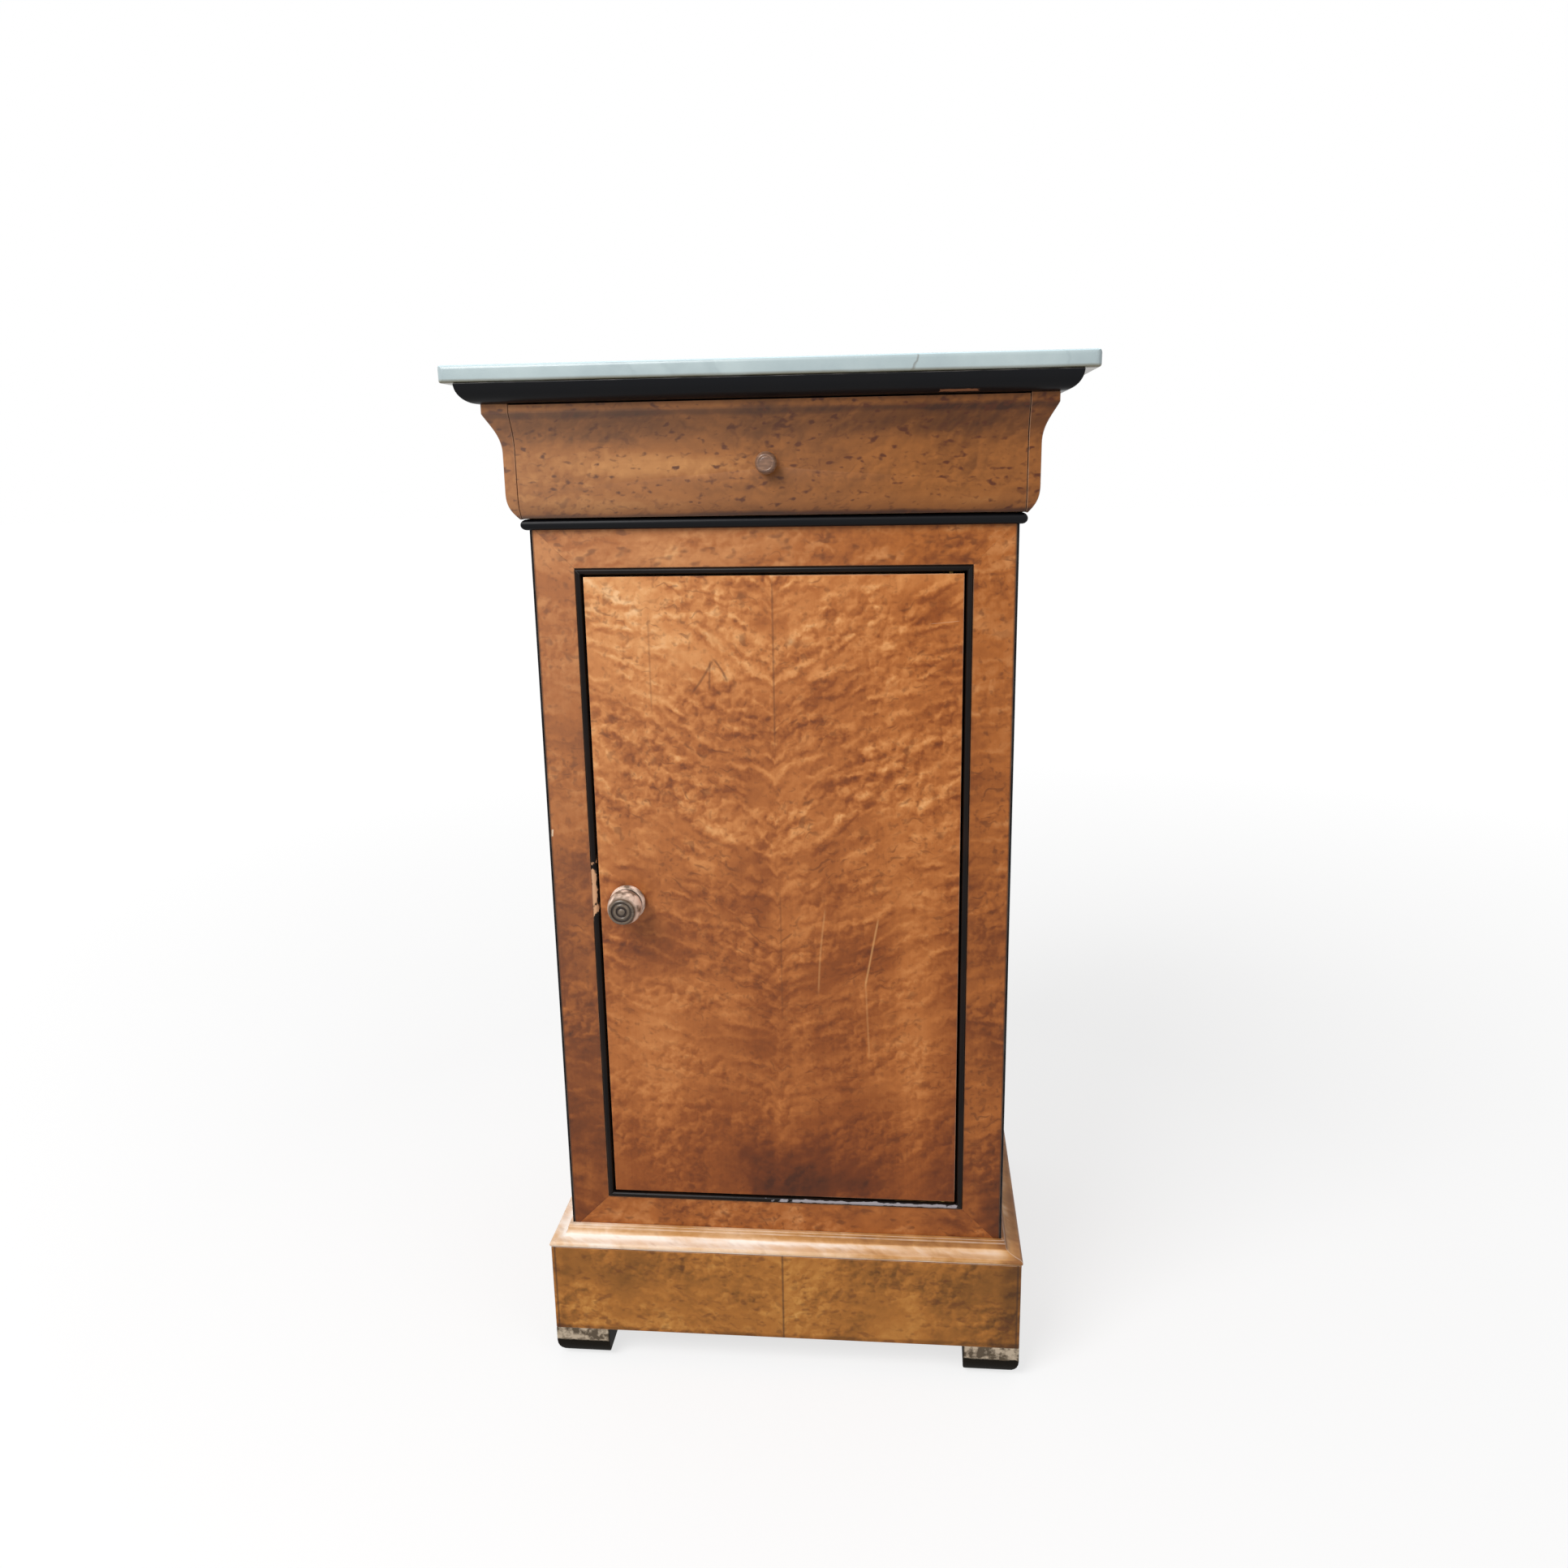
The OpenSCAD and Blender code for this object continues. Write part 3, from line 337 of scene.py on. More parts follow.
@dataclass(frozen=True)
class MapleVeneer:
    """Old figured maple veneer under wax: golden wood clouded with brown, full of small eyes."""

    name: str
    tones: Stops
    grain: Grain = Grain.UPRIGHT
    matched: bool = False
    slant: float = 0.19
    depth: float = 0.35
    lift: float = 0.0
    clouds: float = 0.46
    streaks: float = 0.15
    blisters: float = 0.11
    mottle: float = 0.08
    pits: float = 0.5
    flecks: float = 0.1
    fleck_scale: float = 150.0
    painted_sheen: float = 0.1
    fibres: float = 0.05
    foot: float = 0.0
    foot_figure: float = 1.0
    foot_pits: float = 1.0
    calm: float = 1.0
    painted_side_light: float = 0.0
    seed: float = 0.0
    clouds_and_painted_light: tuple[Cloud, ...] = ()
    scratches: tuple[Scratch, ...] = ()
    joints: tuple[float, ...] = ()
    pit_colour: str = "#54280E"
    sheen_colour: str = "#CDB8A6"
    joint_colour: str = "#3A2416"
    worn_colour: str = "#B99479"
    worn: float = 0.5
    polish: Polish = Polish(roughness=0.42, specular=0.22, coat=0.06, coat_roughness=0.2)

    def build(self) -> bpy.types.Material:
        """Make the material.

        Returns:
            The material.
        """
        material, tree, place = new_material(self.name)
        sheet = self._lay(tree, place)
        small = add(tree, "MapRange", sheet.height, 0.1, 0.65, self.foot_pits, 1.0)
        tone = add(tree, "Math ADD", self._clouds(sheet), self._figure(sheet, small))
        # The fibres are drawn about 1 mm apart, so that they show, and 30 mm long
        level = self.grain is Grain.LEVEL
        fibre = grown(tree, sheet.own, (34, 34, 1000) if level else (1000, 1000, 34), 3.0)
        soft = add(tree, "Math SUBTRACT", fibre, 0.5)
        tone = add(tree, "Math MULTIPLY_ADD", soft, self.fibres, tone)
        colour = add(tree, "ValToRGB", tone, stops=self.tones)
        colour = add(tree, "Mix", self._pits(sheet, small), colour, self.pit_colour)
        for scratch in self.scratches:
            colour = self._scratch(sheet, colour, scratch)
        self.polish.close(tree, self._sheen_and_wear(sheet, colour), fibre)
        return material

    def _lay(self, tree: Tree, place: Socket) -> Sheet:
        """Lay out the sheet of veneer.

        Args:
            tree: The material's node tree.
            place: Object coordinates.

        Returns:
            The sheet.
        """
        x, y, z = (add(tree, "SeparateXYZ", place, out=i) for i in range(3))
        off = add(tree, "Math ABSOLUTE", x)
        across = add(tree, "Math ADD", off if self.matched else x, y)
        across = add(tree, "Math ADD", across, self.seed)
        whole = add(tree, "Math ADD", x, y)
        depth = add(tree, "Math MULTIPLY_ADD", y, self.depth, self.seed * 1.7)
        own = add(tree, "CombineXYZ", whole, depth, z)
        # The growth of the wood bends its figure by up to 10 mm, every 120 mm or so
        bend = add(tree, "Math SUBTRACT", grown(tree, own, 8.0, 1.0), 0.5)
        bent = add(tree, "Math MULTIPLY_ADD", bend, 0.05, z)
        # The figure falls to the middle, and the nearer it is the more steeply
        fall = add(tree, "Math POWER", off, 0.7)
        slanted = add(tree, "Math MULTIPLY_ADD", fall, -self.slant, bent)
        flow = add(tree, "CombineXYZ", across, depth, slanted)
        height = add(tree, "MapRange", z, CASE_FOOT, CASE_HEAD)
        return Sheet(tree, place, x, z, height, own, flow)

    def _clouds(self, sheet: Sheet) -> Socket:
        """Draw the soft clouds of 20 to 60 mm, the fading and the darkening towards the foot, a painted light
        from the left, and the spots of tone and of painted highlight and shade.

        Args:
            sheet: The sheet of veneer.

        Returns:
            The tone, from 0 for dark to 1 for light.
        """
        tree, height = sheet.tree, sheet.height
        level = self.grain is Grain.LEVEL
        cloud = grown(tree, sheet.flow, (8, 8, 18) if level else (10, 10, 27), 2.0, 0.6)
        ragged = grown(tree, sheet.own, 15, 3.0, 0.6)
        both = add(tree, "Math ADD", cloud, ragged)
        spread = add(tree, "Math SUBTRACT", both, 1.0)
        # The clouds grow faint towards the foot
        strength = add(tree, "MapRange", height, 0.0, 0.5, self.clouds * self.calm, self.clouds)
        tone = add(tree, "Math MULTIPLY_ADD", spread, strength, 0.5 + self.lift)
        low = add(tree, "Math MULTIPLY_ADD", height, self.foot, -self.foot)
        tone = add(tree, "Math ADD", tone, low)
        # Painted light from the left: the left side is lighter and the right darker, the more so higher up
        side = add(tree, "MapRange", sheet.x, -0.13, 0.13, self.painted_side_light, -self.painted_side_light)
        tone = add(tree, "Math MULTIPLY_ADD", side, height, tone)
        # Lower down, the figure runs out into upright bands about 15 mm wide
        band = grown(tree, sheet.own, (36, 36, 3), 1.0, levels=(0.35, 0.65, -0.07, 0.07))
        plain = add(tree, "Math SUBTRACT", 1.0, height, use_clamp=True)
        tone = add(tree, "Math MULTIPLY_ADD", band, plain, tone)
        # Spots that lighten or darken the veneer; on the frieze and the cap some are painted highlights and
        # painted shade
        for spot in self.clouds_and_painted_light:
            across = add(tree, "Math MULTIPLY_ADD", sheet.x, 1 / spot.wide, -spot.x / spot.wide)
            up = add(tree, "Math MULTIPLY_ADD", sheet.z, 1 / spot.high, -spot.z / spot.high)
            far = add(tree, "VectorMath LENGTH", add(tree, "CombineXYZ", X=across, Z=up))
            far = add(tree, "Math MULTIPLY_ADD", ragged, 1.6, far)
            near = add(tree, "MapRange", far, 1.0, 1.9, spot.tone, 0.0, interpolation_type="SMOOTHSTEP")
            tone = add(tree, "Math ADD", tone, near)
        return tone

    def _figure(self, sheet: Sheet, small: Socket) -> Socket:
        """Draw the figure: short streaks along the flow, small blisters in patches, and a fine mottle.

        Args:
            sheet: The sheet of veneer.
            small: How strong the small figure is at each height.

        Returns:
            A tone about zero.
        """
        tree = sheet.tree
        # Blisters come and go along the flow every 40 mm
        groups = grown(tree, sheet.own, 20, 1.5)
        groups = add(tree, "Math ADD", groups, grown(tree, sheet.flow, (12, 12, 34), 1.0))
        many = add(tree, "MapRange", groups, 0.88, 1.16, 0.15, 1.0)
        faded = add(tree, "MapRange", sheet.height, 0.1, 0.65, self.foot_figure, 1.0)
        streaks = add(tree, "Math MULTIPLY", self._streaks(sheet), self.streaks)
        streaks = add(tree, "Math MULTIPLY", streaks, faded)
        blisters = add(tree, "Math MULTIPLY", self._blisters(sheet), many)
        # The mottle holds sizes from 5 mm down to 2 mm
        mottle = add(tree, "Math SUBTRACT", grown(tree, sheet.own, 210, 1.5, 0.6), 0.5)
        mottle = add(tree, "Math MULTIPLY", mottle, self.mottle)
        fine = add(tree, "Math MULTIPLY_ADD", blisters, self.blisters, mottle)
        return add(tree, "Math MULTIPLY_ADD", fine, small, streaks)

    def _streaks(self, sheet: Sheet) -> Socket:
        """Draw the streaks, about 20 mm long and 5 mm high: each is light with a shadow under it.

        Args:
            sheet: The sheet of veneer.

        Returns:
            A tone about zero.
        """
        tree = sheet.tree
        # Their edges are torn by up to 3 mm, every 12 mm and finer
        at = torn(tree, sheet.flow, sheet.own, 80.0, 0.015, 3.0, 0.65, 0.5)
        crest = grown(tree, at, (42, 42, 90), 1.0)
        crest = add(tree, "MapRange", crest, 0.42, 0.72, 0.0, 1.6, interpolation_type="SMOOTHSTEP")
        shade = grown(tree, at, (42, 42, 90), 1.0, moved=(0, 0, 0.3))
        shade = add(tree, "MapRange", shade, 0.44, 0.74, 0.0, 1.5, interpolation_type="SMOOTHSTEP")
        return add(tree, "Math SUBTRACT", crest, shade)

    def _blisters(self, sheet: Sheet) -> Socket:
        """Draw the blisters, 5 to 10 mm wide, as painted relief: each has a painted highlight on its upper
        left and painted shade on its lower right.

        Args:
            sheet: The sheet of veneer.

        Returns:
            A tone about zero.
        """
        tree = sheet.tree
        at = torn(tree, sheet.own, sheet.own, 170.0, 0.007)
        depths = []
        # A second copy is moved towards the upper left, the side the painted light comes from
        for moved in ((0.0, 0.0, 0.0), (-0.16, 0.0, 0.16)):
            cells = add(tree, "Mapping", Vector=at, Location=moved, Scale=(95, 95, 95))
            depths.append(add(tree, "TexVoronoi", Vector=cells, Scale=1.0, Detail=0.8))
        painted_relief = add(tree, "Math SUBTRACT", depths[1], depths[0])
        return add(tree, "Math MULTIPLY", painted_relief, 5.0)

    def _pits(self, sheet: Sheet, small: Socket) -> Socket:
        """Scatter dark pits of 1 to 2 mm, and crooked strokes of 5 mm along the flow.

        Args:
            sheet: The sheet of veneer.
            small: How strong the small figure is at each height.

        Returns:
            How much of the pits' colour shows.
        """
        tree, own = sheet.tree, sheet.own
        groups = grown(tree, own, 24, 1.0, levels=(0.42, 0.6, 0.1, self.pits), moved=(3.3, 0, 1.7))
        pits = grown(tree, own, 250, 1.0, levels=(0.6, 0.76), moved=(7.1, 0, 4.9))
        crooked = torn(tree, sheet.flow, own, 110.0, 0.014)
        strokes = grown(tree, crooked, (90, 90, 300), 0.0, levels=(0.62, 0.76))
        dark = add(tree, "Math MAXIMUM", pits, strokes)
        dark = add(tree, "Math MULTIPLY", dark, groups)
        # Flecks of 2 to 3 mm, drawn out along a level grain
        along = self.fleck_scale * (0.6 if self.grain is Grain.LEVEL else 1.0)
        size = (along, along, self.fleck_scale)
        flecks = grown(tree, own, size, 1.5, 0.6, (0.59, 0.71, 0.0, self.flecks), (1.9, 0, 8.3))
        dark = add(tree, "Math MAXIMUM", dark, flecks)
        return add(tree, "Math MULTIPLY", dark, small, use_clamp=True)

    def _scratch(self, sheet: Sheet, colour: Socket, scratch: Scratch) -> Socket:
        """Draw one scratch.

        Args:
            sheet: The sheet of veneer.
            colour: Colour of the wood.
            scratch: The scratch.

        Returns:
            The changed colour.
        """
        tree = sheet.tree
        part = add(tree, "MapRange", sheet.z, scratch.foot[1], scratch.head[1], 0.0, math.pi)
        bow = add(tree, "Math SINE", part)
        line = add(tree, "MapRange", part, 0.0, math.pi, scratch.foot[0], scratch.head[0])
        line = add(tree, "Math MULTIPLY_ADD", bow, scratch.bow, line)
        mark = thin_line(tree, sheet.x, line, scratch.half_width, scratch.strength)
        ends = add(tree, "MapRange", bow, 0.0, 0.35)
        mark = add(tree, "Math MULTIPLY", mark, ends)
        return add(tree, "Mix", mark, colour, scratch.colour)

    def _sheen_and_wear(self, sheet: Sheet, colour: Socket) -> Socket:
        """Lay a pale painted sheen on the left and the top, rub the arrises pale and draw the glued joints.

        Args:
            sheet: The sheet of veneer.
            colour: Colour of the wood.

        Returns:
            The changed colour.
        """
        tree = sheet.tree
        # Painted sheen: a pale film, strongest on the left and towards the top
        sheen = add(tree, "MapRange", sheet.x, -0.17, 0.1, self.painted_sheen, 0.0)
        sheen = add(tree, "Math MULTIPLY", sheen, sheet.height, use_clamp=True)
        colour = add(tree, "Mix", sheen, colour, self.sheen_colour)
        arris = add(tree, "Attribute", out="Fac", attribute_name=ARRIS)
        # Wear comes and goes every 20 mm
        rub = grown(tree, sheet.place, 55.0, 3.0, levels=(0.35, 0.6, 0.3 * self.worn, self.worn))
        rub = add(tree, "Math MULTIPLY", rub, arris)
        colour = add(tree, "Mix", rub, colour, self.worn_colour)
        for at in self.joints:
            mark = thin_line(tree, sheet.x, at, 0.0012, 0.65)
            colour = add(tree, "Mix", mark, colour, self.joint_colour)
        return colour


@dataclass(frozen=True)
class PlainWood:
    """Plain sawn or planed board, such as pine or oak: straight rings and short pores."""

    name: str
    dark: str
    light: str
    ring: float
    grain: Grain = Grain.LEVEL
    pores: float = 0.2
    grime: float = 0.25
    dirt: str = "#4A3522"
    polish: Polish = Polish(roughness=0.68, specular=0.25, depth=0.00008)

    def build(self) -> bpy.types.Material:
        """Make the material.

        Returns:
            The material.
        """
        material, tree, place = new_material(self.name)
        along = list(Grain).index(self.grain)
        # Growth rings 1 to 2 mm apart, drawn out 20 times along the board
        across = 0.55 / self.ring
        size = tuple(across / 20 if axis == along else across for axis in range(3))
        rings = grown(tree, place, size, 3.0, 0.6)
        rings = add(tree, "Math MULTIPLY", rings, 9.0)
        rings = add(tree, "Math FRACT", rings)
        rings = add(tree, "MapRange", rings, 0.0, 0.85, 0.15, 1.0)
        # Pores 0.5 mm wide and 12 mm long
        pore = grown(tree, place, tuple(80 if axis == along else 1900 for axis in range(3)))
        tone = add(tree, "Math MULTIPLY_ADD", pore, self.pores, rings)
        colour = add(tree, "Mix", tone, self.dark, self.light)
        # Dirt in patches of 70 mm
        dirt = grown(tree, place, 14.0, 5.0, 0.65, (0.4, 0.75, 0.0, self.grime))
        colour = add(tree, "Mix", dirt, colour, self.dirt)
        self.polish.close(tree, colour, pore)
        return material


@dataclass(frozen=True)
class Spot:
    """Ragged block on a black finish: either bare wood where it is worn through, or a painted highlight."""

    at: Triple
    size: Triple
    colour: str


@dataclass(frozen=True)
class Ebonised:
    """Wood stained black and polished, with greyish rubbed arrises, small bare spots and painted highlights.
    """

    name: str = "ebonised_wood"
    black: str = "#08090D"
    brown: str = "#0D0C0E"
    rubbed: str = "#57524F"
    spots: tuple[Spot, ...] = ()
    polish: Polish = Polish(roughness=0.33, specular=0.13, depth=0.00003)

    def build(self) -> bpy.types.Material:
        """Make the material.

        Returns:
            The material.
        """
        material, tree, place = new_material(self.name)
        # The stain turns brown in patches of 30 mm
        patch = grown(tree, place, 30.0, 4.0, levels=(0.4, 0.7, 0.0, 0.6))
        colour = add(tree, "Mix", patch, self.black, self.brown)
        arris = add(tree, "Attribute", out="Fac", attribute_name=ARRIS)
        rub = grown(tree, place, 70.0, 3.0, levels=(0.42, 0.66, 0.1, 0.75))
        rub = add(tree, "Math MULTIPLY", rub, arris)
        colour = add(tree, "Mix", rub, colour, self.rubbed)
        # The spots' edges are ragged every 6 mm
        ragged = grown(tree, place, 160.0, 3.0, levels=(0.3, 0.7, -0.45, 0.45))
        for spot in self.spots:
            off = add(tree, "VectorMath SUBTRACT", place, spot.at)
            off = add(tree, "VectorMath MULTIPLY", off, [2 / side for side in spot.size])
            off = add(tree, "VectorMath ABSOLUTE", off)
            across, deep, up = (add(tree, "SeparateXYZ", off, out=i) for i in range(3))
            far = add(tree, "Math MAXIMUM", across, deep)
            far = add(tree, "Math MAXIMUM", far, up)
            far = add(tree, "Math ADD", far, ragged)
            mask = add(tree, "MapRange", far, 0.92, 1.08, 0.9, 0.0)
            colour = add(tree, "Mix", mask, colour, spot.colour)
        self.polish.close(tree, colour, patch)
        return material


@dataclass(frozen=True)
class WornFoot:
    """Block foot whose black has worn off its upper part, down to grey wood."""

    name: str = "worn_ebonised_wood"
    height: float = 0.0165
    inner: float = 0.1424
    bare: str = "#BBAA94"
    dirty: str = "#5C5042"
    black: str = "#120D07"
    polish: Polish = Polish(roughness=0.65, specular=0.09, depth=0.00015)

    def build(self) -> bpy.types.Material:
        """Make the material.

        Returns:
            The material.
        """
        material, tree, place = new_material(self.name)
        x, z = (add(tree, "SeparateXYZ", place, out=i) for i in (0, 2))
        # The black ends in chips 8 mm wide and 1 to 2 mm high
        chips = grown(tree, place, 120.0, 4.0, 0.65)
        edge = add(tree, "Math MULTIPLY_ADD", chips, 0.005, z)
        bare = add(tree, "MapRange", edge, self.height + 0.002, self.height + 0.003)
        # The inner sides stay black
        x = add(tree, "Math ABSOLUTE", x)
        outer = add(tree, "MapRange", x, self.inner - 0.0006, self.inner + 0.0006)
        bare = add(tree, "Math MULTIPLY", bare, outer)
        # Stains of 8 mm on the bare wood
        stains = grown(tree, place, 120.0, 3.0, 0.6, (0.42, 0.56, 0.0, 1.0))
        wood = add(tree, "Mix", stains, self.bare, self.dirty)
        colour = add(tree, "Mix", bare, self.black, wood)
        self.polish.close(tree, colour, chips)
        return material


@dataclass(frozen=True)
class Marble:
    """Honed bluish white marble with soft grey clouds, thin veins and one old crack."""

    name: str = "marble"
    white: str = "#AEBCBD"
    grey: str = "#97A6AA"
    vein: str = "#87959A"
    crack: str = "#6E6A62"
    crack_x: float = 0.0985
    # Colour of the painted highlight on the rounded upper edge
    pale: str = "#C2DCE4"
    grime: str = "#7A7662"
    foot: float = 0.7575
    polish: Polish = Polish(roughness=0.3, specular=0.45, coat=0.15, coat_roughness=0.12)

    def build(self) -> bpy.types.Material:
        """Make the material.

        Returns:
            The material.
        """
        material, tree, place = new_material(self.name)
        x, z = (add(tree, "SeparateXYZ", place, out=i) for i in (0, 2))
        # Clouds of 60 mm and veins that wander through them
        cloud = grown(tree, place, 16.0, 6.0, 0.6, (0.38, 0.68, 0.0, 0.75))
        colour = add(tree, "Mix", cloud, self.white, self.grey)
        bent = torn(tree, place, place, 9.0, 0.13, 5.0)
        veins = thin_line(tree, grown(tree, bent, 7.0, 3.0), 0.5, 0.012, 0.22, 0.002)
        colour = add(tree, "Mix", veins, colour, self.vein)
        # The crack wanders by up to 6 mm
        wander = grown(tree, place, 22.0, 5.0)
        line = add(tree, "Math MULTIPLY_ADD", wander, -0.03, self.crack_x + 0.015)
        crack = thin_line(tree, x, line, 0.0009, 0.6)
        colour = add(tree, "Mix", crack, colour, self.crack)
        # The rounded upper edge gets a painted highlight, and the flat top a third of it over its clouds and
        # veins
        edge = add(tree, "MapRange", z, self.foot + 0.0103, self.foot + 0.0112, 0.0, 0.9)
        flat = add(tree, "MapRange", z, self.foot + 0.0112, self.foot + 0.01148, 1.0, 0.35)
        edge = add(tree, "Math MULTIPLY", edge, flat)
        colour = add(tree, "Mix", edge, colour, self.pale)
        grime = add(tree, "MapRange", z, self.foot, self.foot + 0.0028, 1.0, 0.0)
        grime = add(tree, "Math MULTIPLY_ADD", grime, cloud, grime, use_clamp=True)
        colour = add(tree, "Mix", grime, colour, self.grime)
        self.polish.close(tree, colour, cloud)
        return material


@dataclass(frozen=True)
class TurnedWood:
    """Turned fruitwood knob, darkened by hands, with dirt in its grooves and pale patches on its flank,
    partly worn and partly a painted highlight.
    """

    name: str = "turned_wood"
    light: str = "#8C6850"
    dark: str = "#5E4334"
    # Colour of the flank's patches: worn wood brightened into a painted highlight
    worn: str = "#F0CEB6"
    dirt: str = "#2A1A12"
    wear_and_highlight: float = 0.0
    face_y: float = -1.0
    polish: Polish = Polish(roughness=0.36, coat=0.25, coat_roughness=0.2, depth=0.00004)

    def build(self) -> bpy.types.Material:
        """Make the material.

        Returns:
            The material.
        """
        material, tree, place = new_material(self.name)
        # Growth lines 1.5 mm apart across the knob's end grain
        grain = grown(tree, place, (160, 60, 620), 3.0, 0.6, (0.3, 0.7, 0.0, 1.0))
        colour = add(tree, "Mix", grain, self.dark, self.light)
        # Pale patches of 5 mm on the knob's flank, partly worn by fingers and partly a painted highlight, and
        # none on its face
        patch = grown(tree, place, 130.0, 3.0, levels=(0.4, 0.6, 0.1 * self.wear_and_highlight, self.wear_and_highlight))
        y = add(tree, "SeparateXYZ", place, out=1)
        flank = add(tree, "MapRange", y, self.face_y, self.face_y + 0.003)
        patch = add(tree, "Math MULTIPLY", patch, flank)
        colour = add(tree, "Mix", patch, colour, self.worn)
        groove = add(tree, "Attribute", out="Fac", attribute_name=ARRIS)
        colour = add(tree, "Mix", groove, colour, self.dirt)
        self.polish.close(tree, colour, grain)
        return material


@dataclass(frozen=True)
class AgedMetal:
    """Old cast or forged metal fitting: brass gone dull, or iron with rust."""

    name: str
    bright: str
    dull: str
    polish: Polish = Polish(roughness=0.42, specular=0.5, metallic=1.0, depth=0.00005)

    def build(self) -> bpy.types.Material:
        """Make the material.

        Returns:
            The material.
        """
        material, tree, place = new_material(self.name)
        # Tarnish in patches of 5 mm
        tarnish = grown(tree, place, 190.0, 5.0, 0.65)
        mask = add(tree, "MapRange", tarnish, 0.4, 0.65)
        colour = add(tree, "Mix", mask, self.bright, self.dull)
        self.polish.close(tree, colour, tarnish)
        return material


# Colour of the fine cracks and creases in old veneer
CREASE = "#5A3018"
# A cloud this wide is a band along the whole piece
WHOLE = 9.0
# Tones from dark to light
DOOR_TONES = (
    (0.0, "#46200C"), (0.2, "#6A3210"), (0.38, "#8B491B"), (0.54, "#AB642E"), (0.7, "#C47E44"),
    (0.85, "#D9995E"), (1.0, "#E9B580"),
)
FRAME_TONES = ((0.0, "#46200C"), (0.25, "#763C16"), (0.5, "#A25D28"), (0.75, "#BF7E48"), (1.0, "#D8A068"))
FRIEZE_TONES = ((0.0, "#40200C"), (0.25, "#6C3E18"), (0.5, "#945A28"), (0.75, "#B47A42"), (1.0, "#D2A06A"))
PLINTH_TONES = ((0.0, "#52300D"), (0.25, "#80501C"), (0.5, "#A6692A"), (0.75, "#BF843E"), (1.0, "#D4A25E"))
CAP_TONES = ((0.0, "#8A5A30"), (0.3, "#BC8850"), (0.6, "#DEB891"), (1.0, "#F6EBE0"))

FRAME_VENEER = MapleVeneer(
    "maple_frame", FRAME_TONES, lift=0.09, clouds=0.6, streaks=0.09, blisters=0.09, mottle=0.12, pits=0.6,
    flecks=0.6, foot=0.36, seed=0.7, pit_colour="#5E3014", joints=(-0.1682, 0.1682),
)
PINE = PlainWood("inner_pine", "#A8784A", "#CFA87A", ring=0.006)
OAK = PlainWood("inner_oak", "#765838", "#AA8660", ring=0.004, grain=Grain.UPRIGHT, pores=0.4)

